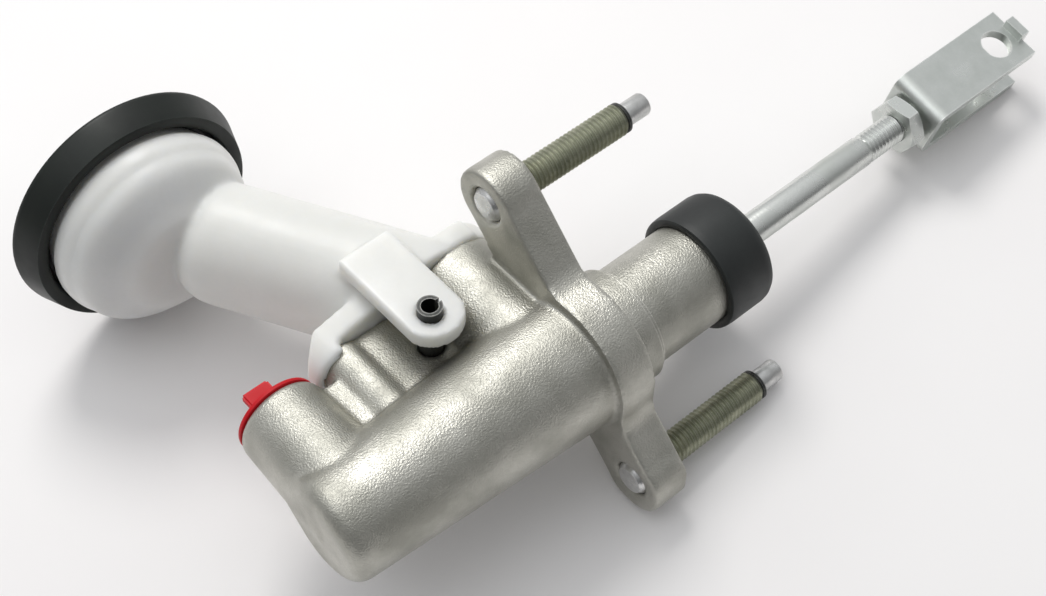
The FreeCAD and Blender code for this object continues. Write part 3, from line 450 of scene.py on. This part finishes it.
# Every finish: its base, darker and worn edge colours, then what the surface function makes of them
FINISHES = {
    "cast": dict(
        name="cast_alloy", base=(0.56, 0.55, 0.50), dark=(0.37, 0.365, 0.325), edge=(0.80, 0.785, 0.73),
        rough=0.40, metal=0.95, grain=2300.0, blotch=70.0, bump=0.9, depth=0.2, edge_amount=2.0),
    "machined": dict(
        name="machined_alloy", base=(0.80, 0.80, 0.78), dark=(0.66, 0.66, 0.64), edge=(0.9, 0.9, 0.88),
        rough=0.24, metal=1.0, grain=5000.0, bump=0.25, depth=0.04, lines=("X", 900.0, 0.7)),
    "white": dict(
        name="milky_plastic", base=(0.76, 0.76, 0.735), dark=(0.71, 0.71, 0.685), edge=(0.82, 0.82, 0.80),
        rough=0.40, grain=900.0, blotch=45.0, bump=0.12, depth=0.06, edge_amount=0.8, constants=MILKY),
    "black": dict(
        name="cap_plastic", base=(0.011, 0.015, 0.012), dark=(0.006, 0.008, 0.007),
        edge=(0.04, 0.05, 0.045),
        rough=0.46, grain=2600.0, bump=0.25, depth=0.05, edge_amount=2.5, constants=DULL),
    "boot": dict(
        name="boot_rubber", base=(0.017, 0.021, 0.020), dark=(0.009, 0.011, 0.011),
        edge=(0.04, 0.048, 0.046),
        rough=0.5, grain=2000.0, bump=0.3, depth=0.06, edge_amount=2.0),
    "red": dict(
        name="plug_plastic", base=(0.60, 0.003, 0.012), dark=(0.50, 0.002, 0.008),
        edge=(0.66, 0.02, 0.03),
        rough=0.5, grain=1500.0, bump=0.15, depth=0.05, edge_amount=1.5, constants=DULL),
    "zinc": dict(
        name="clear_zinc", base=(0.66, 0.68, 0.655), dark=(0.55, 0.575, 0.55), edge=(0.85, 0.87, 0.84),
        rough=0.34, metal=0.92, grain=1800.0, blotch=140.0, bump=0.25, depth=0.05, lines=("X", 60.0, 0.15)),
    "rod": dict(
        name="drawn_zinc", base=(0.70, 0.71, 0.69), dark=(0.58, 0.60, 0.57), edge=(0.85, 0.87, 0.84),
        rough=0.3, metal=0.95, grain=2400.0, blotch=110.0, bump=0.2, depth=0.04, lines=("X", 260.0, 0.4)),
    "stud": dict(
        name="olive_chromate", base=(0.36, 0.365, 0.27), dark=(0.22, 0.23, 0.16), edge=(0.62, 0.63, 0.5),
        rough=0.36, metal=0.8, grain=2600.0, blotch=220.0, bump=0.35, depth=0.05, edge_amount=2.0),
    "silver": dict(
        name="bare_steel", base=(0.72, 0.72, 0.71), dark=(0.5, 0.5, 0.49), edge=(0.9, 0.9, 0.89),
        rough=0.32, metal=0.95, grain=2200.0, blotch=300.0, bump=0.4, depth=0.06, lines=("X", 500.0, 0.5)),
    "dark_steel": dict(
        name="black_steel", base=(0.035, 0.036, 0.035), dark=(0.015, 0.016, 0.015),
        edge=(0.22, 0.22, 0.21),
        rough=0.4, metal=0.7, grain=2000.0, bump=0.3, depth=0.05),
    "spring": dict(
        name="drawn_wire", base=(0.42, 0.42, 0.41), dark=(0.28, 0.28, 0.27), edge=(0.6, 0.6, 0.59),
        rough=0.32, metal=0.95, grain=2000.0, bump=0.2, depth=0.04),
    "brass": dict(
        name="turned_brass", base=(0.78, 0.58, 0.26), dark=(0.6, 0.43, 0.17), edge=(0.9, 0.75, 0.4),
        rough=0.3, metal=1.0, grain=2200.0, bump=0.25, depth=0.04, lines=("Y", 700.0, 0.5)),
    "piston": dict(
        name="turned_piston", base=(0.74, 0.74, 0.73), dark=(0.58, 0.58, 0.57), edge=(0.88, 0.88, 0.87),
        rough=0.28, metal=1.0, grain=2600.0, bump=0.25, depth=0.04, lines=("X", 800.0, 0.6)),
    "seal": dict(
        name="seal_rubber", base=(0.022, 0.022, 0.022), dark=(0.012, 0.012, 0.012),
        edge=(0.05, 0.05, 0.05),
        rough=0.55, grain=1800.0, bump=0.25, depth=0.05),
}


def make_materials():
    """Every finish of the part, by its short name."""
    return {finish: surface(**look) for finish, look in FINISHES.items()}


# Pieces

def radius_from_bore(point):
    """A point's distance from the bore's axis, in millimetres."""
    return math.hypot(point.y, point.z)


def make_casting(mats, settings):
    """The rough casting with soft edges, joined to the crisp machined snout."""
    rough = remeshed(copy_of("cylinder_body", "casting"), settings.cast_voxel)
    smoothed(rough, settings.cast_rounds)
    smoothed(rough, settings.valley_rounds, in_valley)
    smoothed(rough, settings.flange_rounds, on_flange_rim)
    thinned(rough, CAST_KEPT)
    bm = bmesh.new()
    bm.from_mesh(rough.data)
    for vertex in bm.verts:
        vertex.co = opened_bore(vertex.co / MM) * MM
    gone = [f for f in bm.faces if is_snout(f.calc_center_median() / MM)]
    bmesh.ops.delete(bm, geom=gone, context="FACES")
    snout = snout_mesh()
    bm.from_mesh(snout)
    bpy.data.meshes.remove(snout)
    bm.to_mesh(rough.data)
    bm.free()
    rough.data.materials.clear()
    rough.data.materials.append(mats["cast"])
    rough.data.materials.append(mats["machined"])
    shade(rough.data, CASTING_ANGLE)
    return stand_in(rough, "housing", "casting", "cylinder_body")


def snout_mesh():
    """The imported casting's front end, whose turned faces are slot 1."""
    bm = bmesh.new()
    bm.from_mesh(NODES["cylinder_body"].data)
    bmesh.ops.remove_doubles(bm, verts=bm.verts, dist=MERGED)
    everything = bm.verts[:] + bm.edges[:] + bm.faces[:]
    cut = (SNOUT_CUT_X * MM, 0, 0)
    bmesh.ops.bisect_plane(bm, geom=everything, plane_co=cut, plane_no=(1, 0, 0), clear_inner=True)
    for face in bm.faces:
        face.material_index = 0 if snout_is_rough(face) else 1
    mesh = bpy.data.meshes.new("snout")
    bm.to_mesh(mesh)
    bm.free()
    drop_packed_normals(mesh)
    return mesh


def in_valley(point):
    """Full share where walls meet the barrel on its reservoir side."""
    beside = VALLEY_X[0] < point.x < VALLEY_X[1] and point.y > VALLEY_LOW_Y
    return 1.0 if beside and radius_from_bore(point) < VALLEY_RAD else 0.0


def on_flange_rim(point):
    """Full share on the flange's rear half away from the barrel, whose rim is broadly rounded."""
    rear = RIM_X[0] < point.x < RIM_X[1]
    return 1.0 if rear and radius_from_bore(point) > RIM_RAD and not on_turret(point) else 0.0


def on_turret(point):
    return point.y > TURRET_LOW_Y and abs(point.z) < TURRET_HALF_WIDTH


def opened_bore(point):
    """Puts the bore's wall back to its radius, which smoothing has drawn in."""
    wanted = BORE_RAD + BORE_CLEARANCE
    radius = radius_from_bore(point)
    if BORE_X[0] < point.x < BORE_X[1] and BORE_LEAST_RAD < radius < wanted:
        share = wanted / radius
        return Vector((point.x, point.y * share, point.z * share))
    return point


def is_snout(point):
    """Whether a point lies where the crisp snout takes the rough casting's place."""
    under_pilot = point.x > UNDER_PILOT_X and radius_from_bore(point) < UNDER_PILOT_RAD
    return point.x > SNOUT_X or under_pilot


def snout_is_rough(face):
    """The snout's outer wall between the turned step and the boot stays as cast."""
    point = face.calc_center_median() / MM
    return point.x > ROUGH_SNOUT_X and radius_from_bore(point) > ROUGH_SNOUT_RAD


def tube_frame():
    """Z runs up the leaning tube of the reservoir, from its lower end."""
    lean = (-math.sin(TUBE_LEAN), math.cos(TUBE_LEAN), 0)
    return axis_frame(Vector((*TUBE_START, 0)) * MM, lean)


def make_reservoir(mats, settings):
    """Milky bowl on its leaning tube, with the round of the tube's end standing proud of the bowl."""
    lower = copy_of("reservoir", "reservoir_shell")
    for vertex in lower.data.vertices:
        vertex.co = reshaped_foot(vertex.co / MM) * MM
    cut_by(lower, foot_slant())
    block = bmesh.new()
    add_box(block, *UPPER_BLOCK)
    cut_by(lower, finish_mesh(block, "upper_block", []))
    bm = bmesh.new()
    bm.from_mesh(lower.data)
    up = upright(BOWL_X)
    add_lathe(bm, BOWL_OUTSIDE, up, WIDE_SIDES)
    add_lathe(bm, TUBE_OUTSIDE, tube_frame(), WIDE_SIDES)
    bmesh.ops.recalc_face_normals(bm, faces=bm.faces)
    bm.to_mesh(lower.data)
    bm.free()
    remeshed(lower, settings.bowl_voxel)
    smoothed(lower, settings.bowl_rounds)
    thinned(lower, BOWL_KEPT)
    hollow = bmesh.new()
    add_lathe(hollow, BOWL_INSIDE, up, WIDE_SIDES)
    cut_by(lower, finish_mesh(hollow, "bowl_room", []))
    lower.data.materials.clear()
    lower.data.materials.append(mats["white"])
    shade(lower.data, RESERVOIR_ANGLE)
    return stand_in(lower, "housing", "white_plastic", "reservoir")


def foot_slant():
    """A prism that cuts the foot's top corner off at a slant."""
    bm = bmesh.new()
    side = -FOOT_SLANT_HALF_WIDTH
    corners = [bm.verts.new(Vector((x, y, side)) * MM) for x, y in FOOT_SLANT]
    prism = bmesh.ops.extrude_face_region(bm, geom=[bm.faces.new(corners)])
    moved = [item for item in prism["geom"] if isinstance(item, bmesh.types.BMVert)]
    bmesh.ops.translate(bm, vec=(0, 0, 2 * FOOT_SLANT_HALF_WIDTH * MM), verts=moved)
    return finish_mesh(bm, "foot_slant", [])


def reshaped_foot(point):
    """Draws in the foot's round end and fills out the ears, as the photograph shows them."""
    from_end = Vector((point.x - FOOT_CENTRE_X, 0, point.z))
    at_end = FOOT_Y[0] < point.y < FOOT_Y[1] and point.x < FOOT_END_X
    if at_end and from_end.length > FOOT_RAD:
        rim = from_end.normalized() * FOOT_SHOWN_RAD
        return Vector((FOOT_SHOWN_X + rim.x, max(point.y, FOOT_SHOWN_LOW_Y), rim.z))
    from_pin = Vector((point.x - PIN_X, point.y - PIN_Y, 0))
    on_ear = abs(point.z) > EAR_INSIDE_Z and point.y < EAR_TOP_Y
    if on_ear and from_pin.length > PIN_RAD:
        low = EAR_DROP if point.y < EAR_SPLIT_Y else 0.0
        return Vector((PIN_SHOWN_X + from_pin.x * EAR_GROWTH, point.y - low, point.z))
    return point


# Outlines of turned forms, as (radius, height) in millimetres
BOWL_OUTSIDE = [
    (0, 79.8), (11.5, 80.0), (14.0, 80.8), (16.8, 83.0),
    (18.8, 84.5), (20.7, 86.0), (22.6, 87.6), (23.8, 89.2),
    (24.3, 91.0), (24.4, 92.2), (25.1, 92.9), (25.4, 93.9),
    (25.6, 95.2), (25.6, 97.4), (25.0, 98.2), (24.2, 98.8),
    (24.0, 102.6), (0, 102.6)]
BOWL_INSIDE = [(0, 82.6), (12.5, 82.8), (17.5, 85.4), (20.9, 88.6), (21.8, 91.5), (21.8, 104.0), (0, 104.0)]
TUBE_OUTSIDE = [
    (0, 12.0), (14.6, 12.0), (15.0, 12.6), (15.0, 56.0),
    (14.7, 58.6), (13.6, 61.6), (11.4, 64.2), (8.2, 66.0),
    (4.2, 67.0), (0, 67.3)]


def make_cap(mats):
    """Screw cap: tapered skirt with a rolled rim, open below, a shallow dish on top."""
    bm = bmesh.new()
    add_lathe(bm, CAP_SECTION, upright(BOWL_X), CAP_SIDES)
    cap = finish_mesh(bm, "cap_shell", [mats["black"]], CAP_ANGLE)
    return stand_in(cap, "cap", "black_plastic", "reservoir_cap")


CAP_SECTION = [
    (0, 104.05), (25.6, 104.05), (25.9, 103.8), (25.9, 99.2), (26.3, 98.6), (26.8, 98.42), (28.7, 98.42),
    (29.1, 98.55), (29.25, 98.95), (31.3, 104.9), (31.38, 105.4), (31.25, 105.95), (30.9, 106.3),
    (30.3, 106.4), (29.2, 106.4), (28.7, 106.2), (28.4, 105.7), (0, 105.7)]


# A ridge of four corners, in this many steps a turn
STEPS_PER_TURN = 36
RIDGE_CORNERS = 4


def thread_group():
    """Geometry nodes that wind a V-shaped ridge about Z and join it to the geometry that comes in."""
    found = bpy.data.node_groups.get("thread")
    if found:
        return found
    tree = bpy.data.node_groups.new("thread", "GeometryNodeTree")
    tree.interface.new_socket(name="Geometry", in_out="INPUT", socket_type="NodeSocketGeometry")
    for label in ("Turns", "Length", "Ridge Radius", "Ridge Size"):
        tree.interface.new_socket(name=label, in_out="INPUT", socket_type="NodeSocketFloat")
    tree.interface.new_socket(name="Material", in_out="INPUT", socket_type="NodeSocketMaterial")
    tree.interface.new_socket(name="Geometry", in_out="OUTPUT", socket_type="NodeSocketGeometry")
    start = tree.nodes.new("NodeGroupInput")
    end = tree.nodes.new("NodeGroupOutput")
    spiral = tree.nodes.new("GeometryNodeCurveSpiral")
    spiral.inputs["Resolution"].default_value = STEPS_PER_TURN
    upright_curve = tree.nodes.new("GeometryNodeSetCurveNormal")
    upright_curve.mode = "Z_UP"
    profile = tree.nodes.new("GeometryNodeCurvePrimitiveCircle")
    profile.inputs["Resolution"].default_value = RIDGE_CORNERS
    sweep = tree.nodes.new("GeometryNodeCurveToMesh")
    sweep.inputs["Fill Caps"].default_value = True
    paint = tree.nodes.new("GeometryNodeSetMaterial")
    real = tree.nodes.new("GeometryNodeRealizeInstances")
    join = tree.nodes.new("GeometryNodeJoinGeometry")
    for source, out_name, target, in_name in (
            (start, "Turns", spiral, "Rotations"),
            (start, "Length", spiral, "Height"),
            (start, "Ridge Radius", spiral, "Start Radius"),
            (start, "Ridge Radius", spiral, "End Radius"),
            (start, "Ridge Size", profile, "Radius"),
            (spiral, "Curve", upright_curve, "Curve"),
            (upright_curve, "Curve", sweep, "Curve"),
            (profile, "Curve", sweep, "Profile Curve"),
            (sweep, "Mesh", paint, "Geometry"),
            (start, "Material", paint, "Material"),
            (paint, "Geometry", real, "Geometry"),
            (real, "Geometry", join, "Geometry"),
            (start, "Geometry", join, "Geometry"),
            (join, "Geometry", end, "Geometry")):
        tree.links.new(source.outputs[out_name], target.inputs[in_name])
    return tree


def wound(name, place, start, length, crest, settings, material):
    """A helical ridge as a mesh, from its start up Z; lengths in millimetres."""
    depth = settings.thread_depth / MM
    turns = length / (settings.pitch / MM)
    obj = new_object(name, bpy.data.meshes.new(name))
    step = obj.modifiers.new("thread", "NODES")
    step.node_group = thread_group()
    wanted = {
        "Turns": turns, "Length": length * MM, "Ridge Radius": (crest - depth) * MM,
        "Ridge Size": depth * MM,
        "Material": material}
    for socket in step.node_group.interface.items_tree:
        if socket.in_out == "INPUT" and socket.name in wanted:
            step[socket.identifier] = wanted[socket.name]
    applied(obj)
    obj.data.transform(place @ Matrix.Translation((0, 0, start * MM)))
    return obj


def joined(name, objects, sharp=SHARP_ANGLE):
    """Joins objects into one, keeping each one's materials."""
    bm = bmesh.new()
    materials = []
    for obj in objects:
        offset = [None] * max(1, len(obj.data.materials))
        for index, material in enumerate(obj.data.materials):
            if material not in materials:
                materials.append(material)
            offset[index] = materials.index(material)
        part = obj.data.copy()
        for face in part.polygons:
            face.material_index = offset[face.material_index] or 0
        bm.from_mesh(part)
        bpy.data.meshes.remove(part)
        bpy.data.objects.remove(obj)
    mesh = bpy.data.meshes.new(name)
    bm.to_mesh(mesh)
    bm.free()
    for material in materials:
        mesh.materials.append(material)
    shade(mesh, sharp)
    return new_object(name, mesh)


# The studs' painted tip and their thread along X, in millimetres
STUD_TIP_X = 32.0
STUD_SHOULDER_X = 31.0
STUD_THREAD_X = 0.7
STUD_THREAD_LEN = 30.3
STUD_CREST = 4.0


def stud_slot(point):
    """Bare head and dog point are slot 1, the dark shoulder is slot 2, the olive thread is slot 0."""
    if point.x < 0 or point.x > STUD_TIP_X:
        return 1
    return 2 if point.x > STUD_SHOULDER_X else 0


def make_stud(mats, settings, label, distance):
    """Pressed-in stud: bare head and dog tip, olive thread cut between them."""
    place = forward(distance)
    bm = bmesh.new()
    add_lathe(bm, STUD_SECTION, place, STUD_SIDES, stud_slot)
    core = finish_mesh(bm, label + "_core", [mats["stud"], mats["silver"], mats["dark_steel"]])
    ridge = wound(
        label + "_ridge", place, STUD_THREAD_X, STUD_THREAD_LEN, STUD_CREST, settings, mats["stud"])
    return stand_in(joined(label + "_dressed", [core, ridge]), "housing", "stud_steel", label)


STUD_SECTION = [
    (0, -10.3), (2.9, -10.3), (3.45, -10.15), (3.7, -9.85),
    (4.35, -9.0), (4.35, -0.2), (4.0, 0.15), (3.42, 0.75),
    (3.42, 30.9), (3.9, 31.2), (3.9, 31.8), (3.5, 32.15),
    (2.9, 32.3), (2.9, 38.3), (2.7, 38.75), (2.2, 39.0),
    (0, 39.0)]


# The rod's thread and ball along X, in millimetres; the neck sets the ball's last angle
ROD_THREAD_X = 90.3
ROD_THREAD_LEN = 25.4
ROD_CREST = 3.9
BALL_X = 22.2
BALL_RAD = 5.0
BALL_STEPS = 14
BALL_LAST_ANGLE = math.acos(-0.8)


def make_push_rod(mats, settings):
    """Drawn rod with its ball, and a thread on the end that carries the clevis."""
    place = forward(0)
    bm = bmesh.new()
    add_lathe(bm, ball_outline() + ROD_SECTION, place, ROD_SIDES)
    core = finish_mesh(bm, "rod_core", [mats["rod"]])
    ridge = wound("rod_ridge", place, ROD_THREAD_X, ROD_THREAD_LEN, ROD_CREST, settings, mats["rod"])
    return stand_in(joined("push_rod_dressed", [core, ridge]), "push_rod", "zinc_steel", "push_rod")


def ball_outline():
    """The ball's outline from its pole to the neck."""
    outline = []
    for i in range(BALL_STEPS + 1):
        angle = BALL_LAST_ANGLE * i / BALL_STEPS
        outline.append((BALL_RAD * math.sin(angle), BALL_X - BALL_RAD * math.cos(angle)))
    return outline


ROD_SECTION = [
    (3.0, 26.4), (3.0, 31.5), (3.3, 31.9), (3.85, 32.5),
    (4.0, 32.9), (4.0, 89.2), (3.9, 89.6), (3.36, 90.3),
    (3.36, 115.7), (3.0, 116.4), (2.8, 116.5), (0, 116.5)]


def make_boot(mats):
    """Dust boot: a rubber cup with a soft front edge, a thin lip behind and a hole for the rod."""
    bm = bmesh.new()
    add_lathe(bm, BOOT_SECTION, forward(0), WIDE_SIDES)
    boot = finish_mesh(bm, "boot_shell", [mats["boot"]], SOFT_ANGLE)
    return stand_in(boot, "housing", "rubber", "dust_boot")


BOOT_SECTION = [
    (13.1, 34.3), (13.1, 29.0), (13.5, 28.7), (14.6, 28.7), (15.0, 28.95), (15.15, 29.5), (15.25, 31.0),
    (15.25, 40.3), (15.05, 41.5), (14.5, 42.5), (13.7, 43.15),
    (12.6, 43.4), (7.6, 43.4), (6.6, 43.25), (5.8, 42.8),
    (5.55, 42.3), (5.55, 41.6), (5.9, 41.2), (12.2, 41.2), (12.9, 40.6), (13.1, 39.9), (13.1, 34.3)]


def make_plug(mats):
    """Transport plug: hollow shank, thin rim and a pull tab with soft edges."""
    bm = bmesh.new()
    add_lathe(bm, PLUG_SECTION, upright(BOSS_X))
    tab = bmesh.new()
    add_box(tab, *PLUG_TAB)
    bmesh.ops.bevel(tab, geom=tab.edges, offset=PLUG_TAB_ROUND * MM, segments=3, affect="EDGES")
    body = finish_mesh(bm, "plug_rim", [mats["red"]])
    pull = finish_mesh(tab, "plug_tab", [mats["red"]])
    return stand_in(joined("plug_dressed", [body, pull], SOFT_ANGLE), "plug", "red_plastic", "outlet_plug")


PLUG_TAB = ((BOSS_X - 3.5, 31.6, -1.2), (BOSS_X + 3.5, 40.2, 1.2))
PLUG_TAB_ROUND = 0.5
PLUG_SECTION = [
    (0, 31.1), (4.1, 31.1), (4.1, 22.4), (4.3, 22.0), (5.1, 22.0), (5.3, 22.4), (5.3, 31.0), (9.9, 31.0),
    (10.2, 31.15), (10.3, 31.6), (10.15, 32.0), (9.7, 32.2), (0, 32.2)]

CAD_FINISHES = {
    "cap_seal": "seal", "reservoir_grommet": "seal", "roll_pin": "dark_steel", "outlet_seat": "brass",
    "piston": "piston", "primary_cup": "seal", "secondary_cup": "seal", "cup_washer": "zinc",
    "spring_seat": "zinc", "stop_plate": "zinc", "snap_ring": "spring",
    "lock_nut": "zinc", "clevis": "zinc",
}


def make_spring(mats):
    """The return spring in its packed shape, riding on the housing."""
    spring = copy_of("return_spring", "spring_coils")
    spring.data.materials.append(mats["spring"])
    shade(spring.data, SOFT_ANGLE)
    stand_in(spring, "housing", "spring_steel", "return_spring")
    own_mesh(spring)


def finish_nodes(mats):
    """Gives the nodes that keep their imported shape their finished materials."""
    for name, finish in CAD_FINISHES.items():
        for slot in NODES[name].material_slots:
            slot.link = "OBJECT"
            slot.material = mats[finish]


# Stage

# The bench: rounds to find its tilt, its half width and its gap under the part in metres
TILT_ROUNDS = 20
FLOOR_HALF_WIDTH = 2.5
FLOOR_GAP = 0.0002

# The direction the soft sky is brightest in, and its strengths from dark to bright
SKY_BRIGHTEST = (0.12, 0.42, 0.9)
SKY_DARK = 0.18
SKY_BRIGHT = 1.35

# Area lights, named as the settings that power them: place and size in metres, and tint
LIGHT_AIM = (0.0, 0.01, 0.0)
LIGHTS = (
    ("key", (0.10, 0.46, 0.78), 0.36, (1.0, 0.985, 0.96)),
    ("fill", (-0.35, 0.15, 0.8), 0.7, (0.96, 0.98, 1.0)),
)


def resting_plane():
    """The plane through the three places where the part touches the bench: flange, cap and clevis."""
    groups = [mesh_points("cylinder_body"), mesh_points("reservoir_cap"), mesh_points("clevis")]
    normal = np.array((0.0, 0.0, 1.0))
    for _ in range(TILT_ROUNDS):
        low = [points[np.argmin(points @ normal)] for points in groups]
        normal = np.cross(low[1] - low[0], low[2] - low[0])
        normal *= math.copysign(1.0, normal[2]) / np.linalg.norm(normal)
    return Vector(low[0]), Vector(normal)


def mesh_points(name):
    """The places of a node's vertices, one row each."""
    mesh = NODES[name].data
    points = np.empty(len(mesh.vertices) * 3)
    mesh.vertices.foreach_get("co", points)
    return points.reshape(-1, 3)


def make_floor():
    """A wide pale bench top under the part."""
    place, normal = resting_plane()
    bm = bmesh.new()
    bmesh.ops.create_grid(bm, x_segments=1, y_segments=1, size=FLOOR_HALF_WIDTH)
    bmesh.ops.transform(bm, matrix=axis_frame(place - normal * FLOOR_GAP, normal), verts=bm.verts)
    material = bpy.data.materials.new("bench")
    material.use_nodes = True
    tree = material.node_tree
    shader = tree.nodes["Principled BSDF"]
    shader.inputs["Specular IOR Level"].default_value = 0.2
    spot = node(tree, "ShaderNodeTexCoord").outputs["Object"]
    cloud = noise_value(tree, spot, 9.0, 3.0)
    share = spread_value(tree, cloud, 0.3, 0.7)
    tint = colour_mix(tree, share, (0.93, 0.915, 0.91), (0.90, 0.88, 0.878))
    tree.links.new(tint, shader.inputs["Base Color"])
    grain = noise_value(tree, spot, 1400.0, 2.0)
    tree.links.new(spread_value(tree, grain, 0.3, 0.7, 0.6, 0.8), shader.inputs["Roughness"])
    floor = finish_mesh(bm, "floor", [material])


def add_light(name, place, size, power, tint):
    """A round area light aimed at the part."""
    lamp = bpy.data.lights.new(name, "AREA")
    lamp.shape = "DISK"
    lamp.size = size
    lamp.energy = power
    lamp.color = tint
    obj = bpy.data.objects.new(name, lamp)
    bpy.context.scene.collection.objects.link(obj)
    obj.matrix_world = axis_frame(place, Vector(place) - Vector(LIGHT_AIM))


def make_world(level):
    """White to the camera, and a soft sky that darkens towards the bench for what it lights."""
    world = bpy.data.worlds.new("studio")
    bpy.context.scene.world = world
    world.use_nodes = True
    tree = world.node_tree
    tree.nodes.clear()
    out = tree.nodes.new("ShaderNodeOutputWorld")
    sky = tree.nodes.new("ShaderNodeBackground")
    white = tree.nodes.new("ShaderNodeBackground")
    white.inputs["Strength"].default_value = 1.0
    mix = tree.nodes.new("ShaderNodeMixShader")
    rays = tree.nodes.new("ShaderNodeLightPath")
    place = node(tree, "ShaderNodeTexCoord").outputs["Generated"]
    facing = node(tree, "ShaderNodeVectorMath", operation="DOT_PRODUCT")
    facing.inputs[1].default_value = Vector(SKY_BRIGHTEST).normalized()
    tree.links.new(place, facing.inputs[0])
    dark, bright = SKY_DARK * level, SKY_BRIGHT * level
    height = spread_value(tree, facing.outputs["Value"], -0.25, 0.95, dark, bright)
    tree.links.new(height, sky.inputs["Strength"])
    sky.inputs["Color"].default_value = (0.97, 0.985, 1.0, 1.0)
    tree.links.new(rays.outputs["Is Camera Ray"], mix.inputs[0])
    tree.links.new(sky.outputs[0], mix.inputs[1])
    tree.links.new(white.outputs[0], mix.inputs[2])
    tree.links.new(mix.outputs[0], out.inputs["Surface"])


def make_stage(settings):
    """The bench, the sky, the lights and the photograph's camera."""
    make_floor()
    make_world(settings.sky)
    for name, place, size, tint in LIGHTS:
        add_light(name, place, size, getattr(settings, name), tint)
    camera = bpy.data.cameras.new("photo_camera")
    camera.lens = CAMERA_LENS
    camera.sensor_width = CAMERA_SENSOR
    camera.sensor_fit = "HORIZONTAL"
    camera.clip_start = 0.01
    camera.clip_end = 20.0
    obj = bpy.data.objects.new("photo_camera", camera)
    bpy.context.scene.collection.objects.link(obj)
    turn = Matrix((CAMERA_RIGHT, CAMERA_UP, CAMERA_BACK)).transposed().to_4x4()
    obj.matrix_world = Matrix.Translation(Vector(CAMERA_PLACE) * MM) @ turn
    bpy.context.scene.camera = obj
    bpy.context.scene.view_settings.view_transform = "Standard"


# Add-on

class PartSettings(bpy.types.PropertyGroup):
    """What a user of the add-on may change, in metres"""
    cast_voxel: FloatProperty(
        name="Cast voxel", description="Cell of the casting's skin", default=0.00062, unit="LENGTH")
    cast_rounds: IntProperty(
        name="Cast rounds", description="Smoothing rounds on the whole casting", default=5)
    valley_rounds: IntProperty(
        name="Valley rounds", description="More rounds where walls meet the barrel", default=8)
    flange_rounds: IntProperty(
        name="Flange rounds", description="More rounds on the flange's rear rim", default=16)
    bowl_voxel: FloatProperty(
        name="Bowl voxel", description="Cell of the reservoir's skin", default=0.0007, unit="LENGTH")
    bowl_rounds: IntProperty(
        name="Bowl rounds", description="Smoothing rounds on the reservoir", default=5)
    pitch: FloatProperty(
        name="Pitch", description="Thread pitch", default=0.00125, unit="LENGTH")
    thread_depth: FloatProperty(
        name="Thread depth", description="Height of the ridge", default=0.0006, unit="LENGTH")
    sky: FloatProperty(
        name="Sky", description="Strength of the soft sky", default=0.62)
    key: FloatProperty(
        name="Key", description="Power of the key light in watts", default=3.7)
    fill: FloatProperty(
        name="Fill", description="Power of the fill light in watts", default=1.0)


MATERIALS = {}


def finishes():
    """The part's materials, made once."""
    if not MATERIALS:
        MATERIALS.update(make_materials())
    return MATERIALS


class PieceOperator:
    """Shared by the operators below: each one runs its own maker."""
    bl_options = {"REGISTER", "UNDO"}

    def execute(self, context):
        self.make(context.scene.part_settings)
        return {"FINISHED"}


class PART_OT_casting(PieceOperator, bpy.types.Operator):
    """Make the rough casting with its machined snout"""
    bl_idname = "part.casting"
    bl_label = "Casting"

    def make(self, settings):
        make_casting(finishes(), settings)


class PART_OT_reservoir(PieceOperator, bpy.types.Operator):
    """Make the milky reservoir"""
    bl_idname = "part.reservoir"
    bl_label = "Reservoir"

    def make(self, settings):
        make_reservoir(finishes(), settings)


class PART_OT_cap(PieceOperator, bpy.types.Operator):
    """Make the screw cap"""
    bl_idname = "part.cap"
    bl_label = "Cap"

    def make(self, settings):
        make_cap(finishes())


class PART_OT_studs(PieceOperator, bpy.types.Operator):
    """Make both studs with their threads"""
    bl_idname = "part.studs"
    bl_label = "Studs"

    def make(self, settings):
        for label, distance in STUD_AXES.items():
            make_stud(finishes(), settings, label, distance)


class PART_OT_push_rod(PieceOperator, bpy.types.Operator):
    """Make the push rod with its thread"""
    bl_idname = "part.push_rod"
    bl_label = "Push rod"

    def make(self, settings):
        make_push_rod(finishes(), settings)


class PART_OT_soft_parts(PieceOperator, bpy.types.Operator):
    """Make the dust boot, the transport plug and the return spring"""
    bl_idname = "part.soft_parts"
    bl_label = "Boot, plug and spring"

    def make(self, settings):
        make_boot(finishes())
        make_plug(finishes())
        make_spring(finishes())


class PART_OT_node_finishes(PieceOperator, bpy.types.Operator):
    """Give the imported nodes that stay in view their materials"""
    bl_idname = "part.node_finishes"
    bl_label = "Node finishes"

    def make(self, settings):
        finish_nodes(finishes())


class PART_OT_stage(PieceOperator, bpy.types.Operator):
    """Make the bench, the lights and the camera"""
    bl_idname = "part.stage"
    bl_label = "Stage"

    def make(self, settings):
        make_stage(settings)


STEPS = ("casting", "reservoir", "cap", "studs", "push_rod", "soft_parts", "node_finishes", "stage")


class PART_PT_panel(bpy.types.Panel):
    bl_label = "Clutch master cylinder"
    bl_idname = "PART_PT_panel"
    bl_space_type = "VIEW_3D"
    bl_region_type = "UI"
    bl_category = "Part"

    def draw(self, context):
        for step in STEPS:
            self.layout.operator("part." + step)


CLASSES = (
    PartSettings, PART_OT_casting, PART_OT_reservoir, PART_OT_cap, PART_OT_studs, PART_OT_push_rod,
    PART_OT_soft_parts, PART_OT_node_finishes, PART_OT_stage, PART_PT_panel)


def register():
    for cls in CLASSES:
        bpy.utils.register_class(cls)
    bpy.types.Scene.part_settings = PointerProperty(type=PartSettings)


def unregister():
    del bpy.types.Scene.part_settings
    for cls in reversed(CLASSES):
        bpy.utils.unregister_class(cls)


def main():
    """Runs every step."""
    register()
    for step in STEPS:
        getattr(bpy.ops.part, step)()


if __name__ == "__main__":
    main()
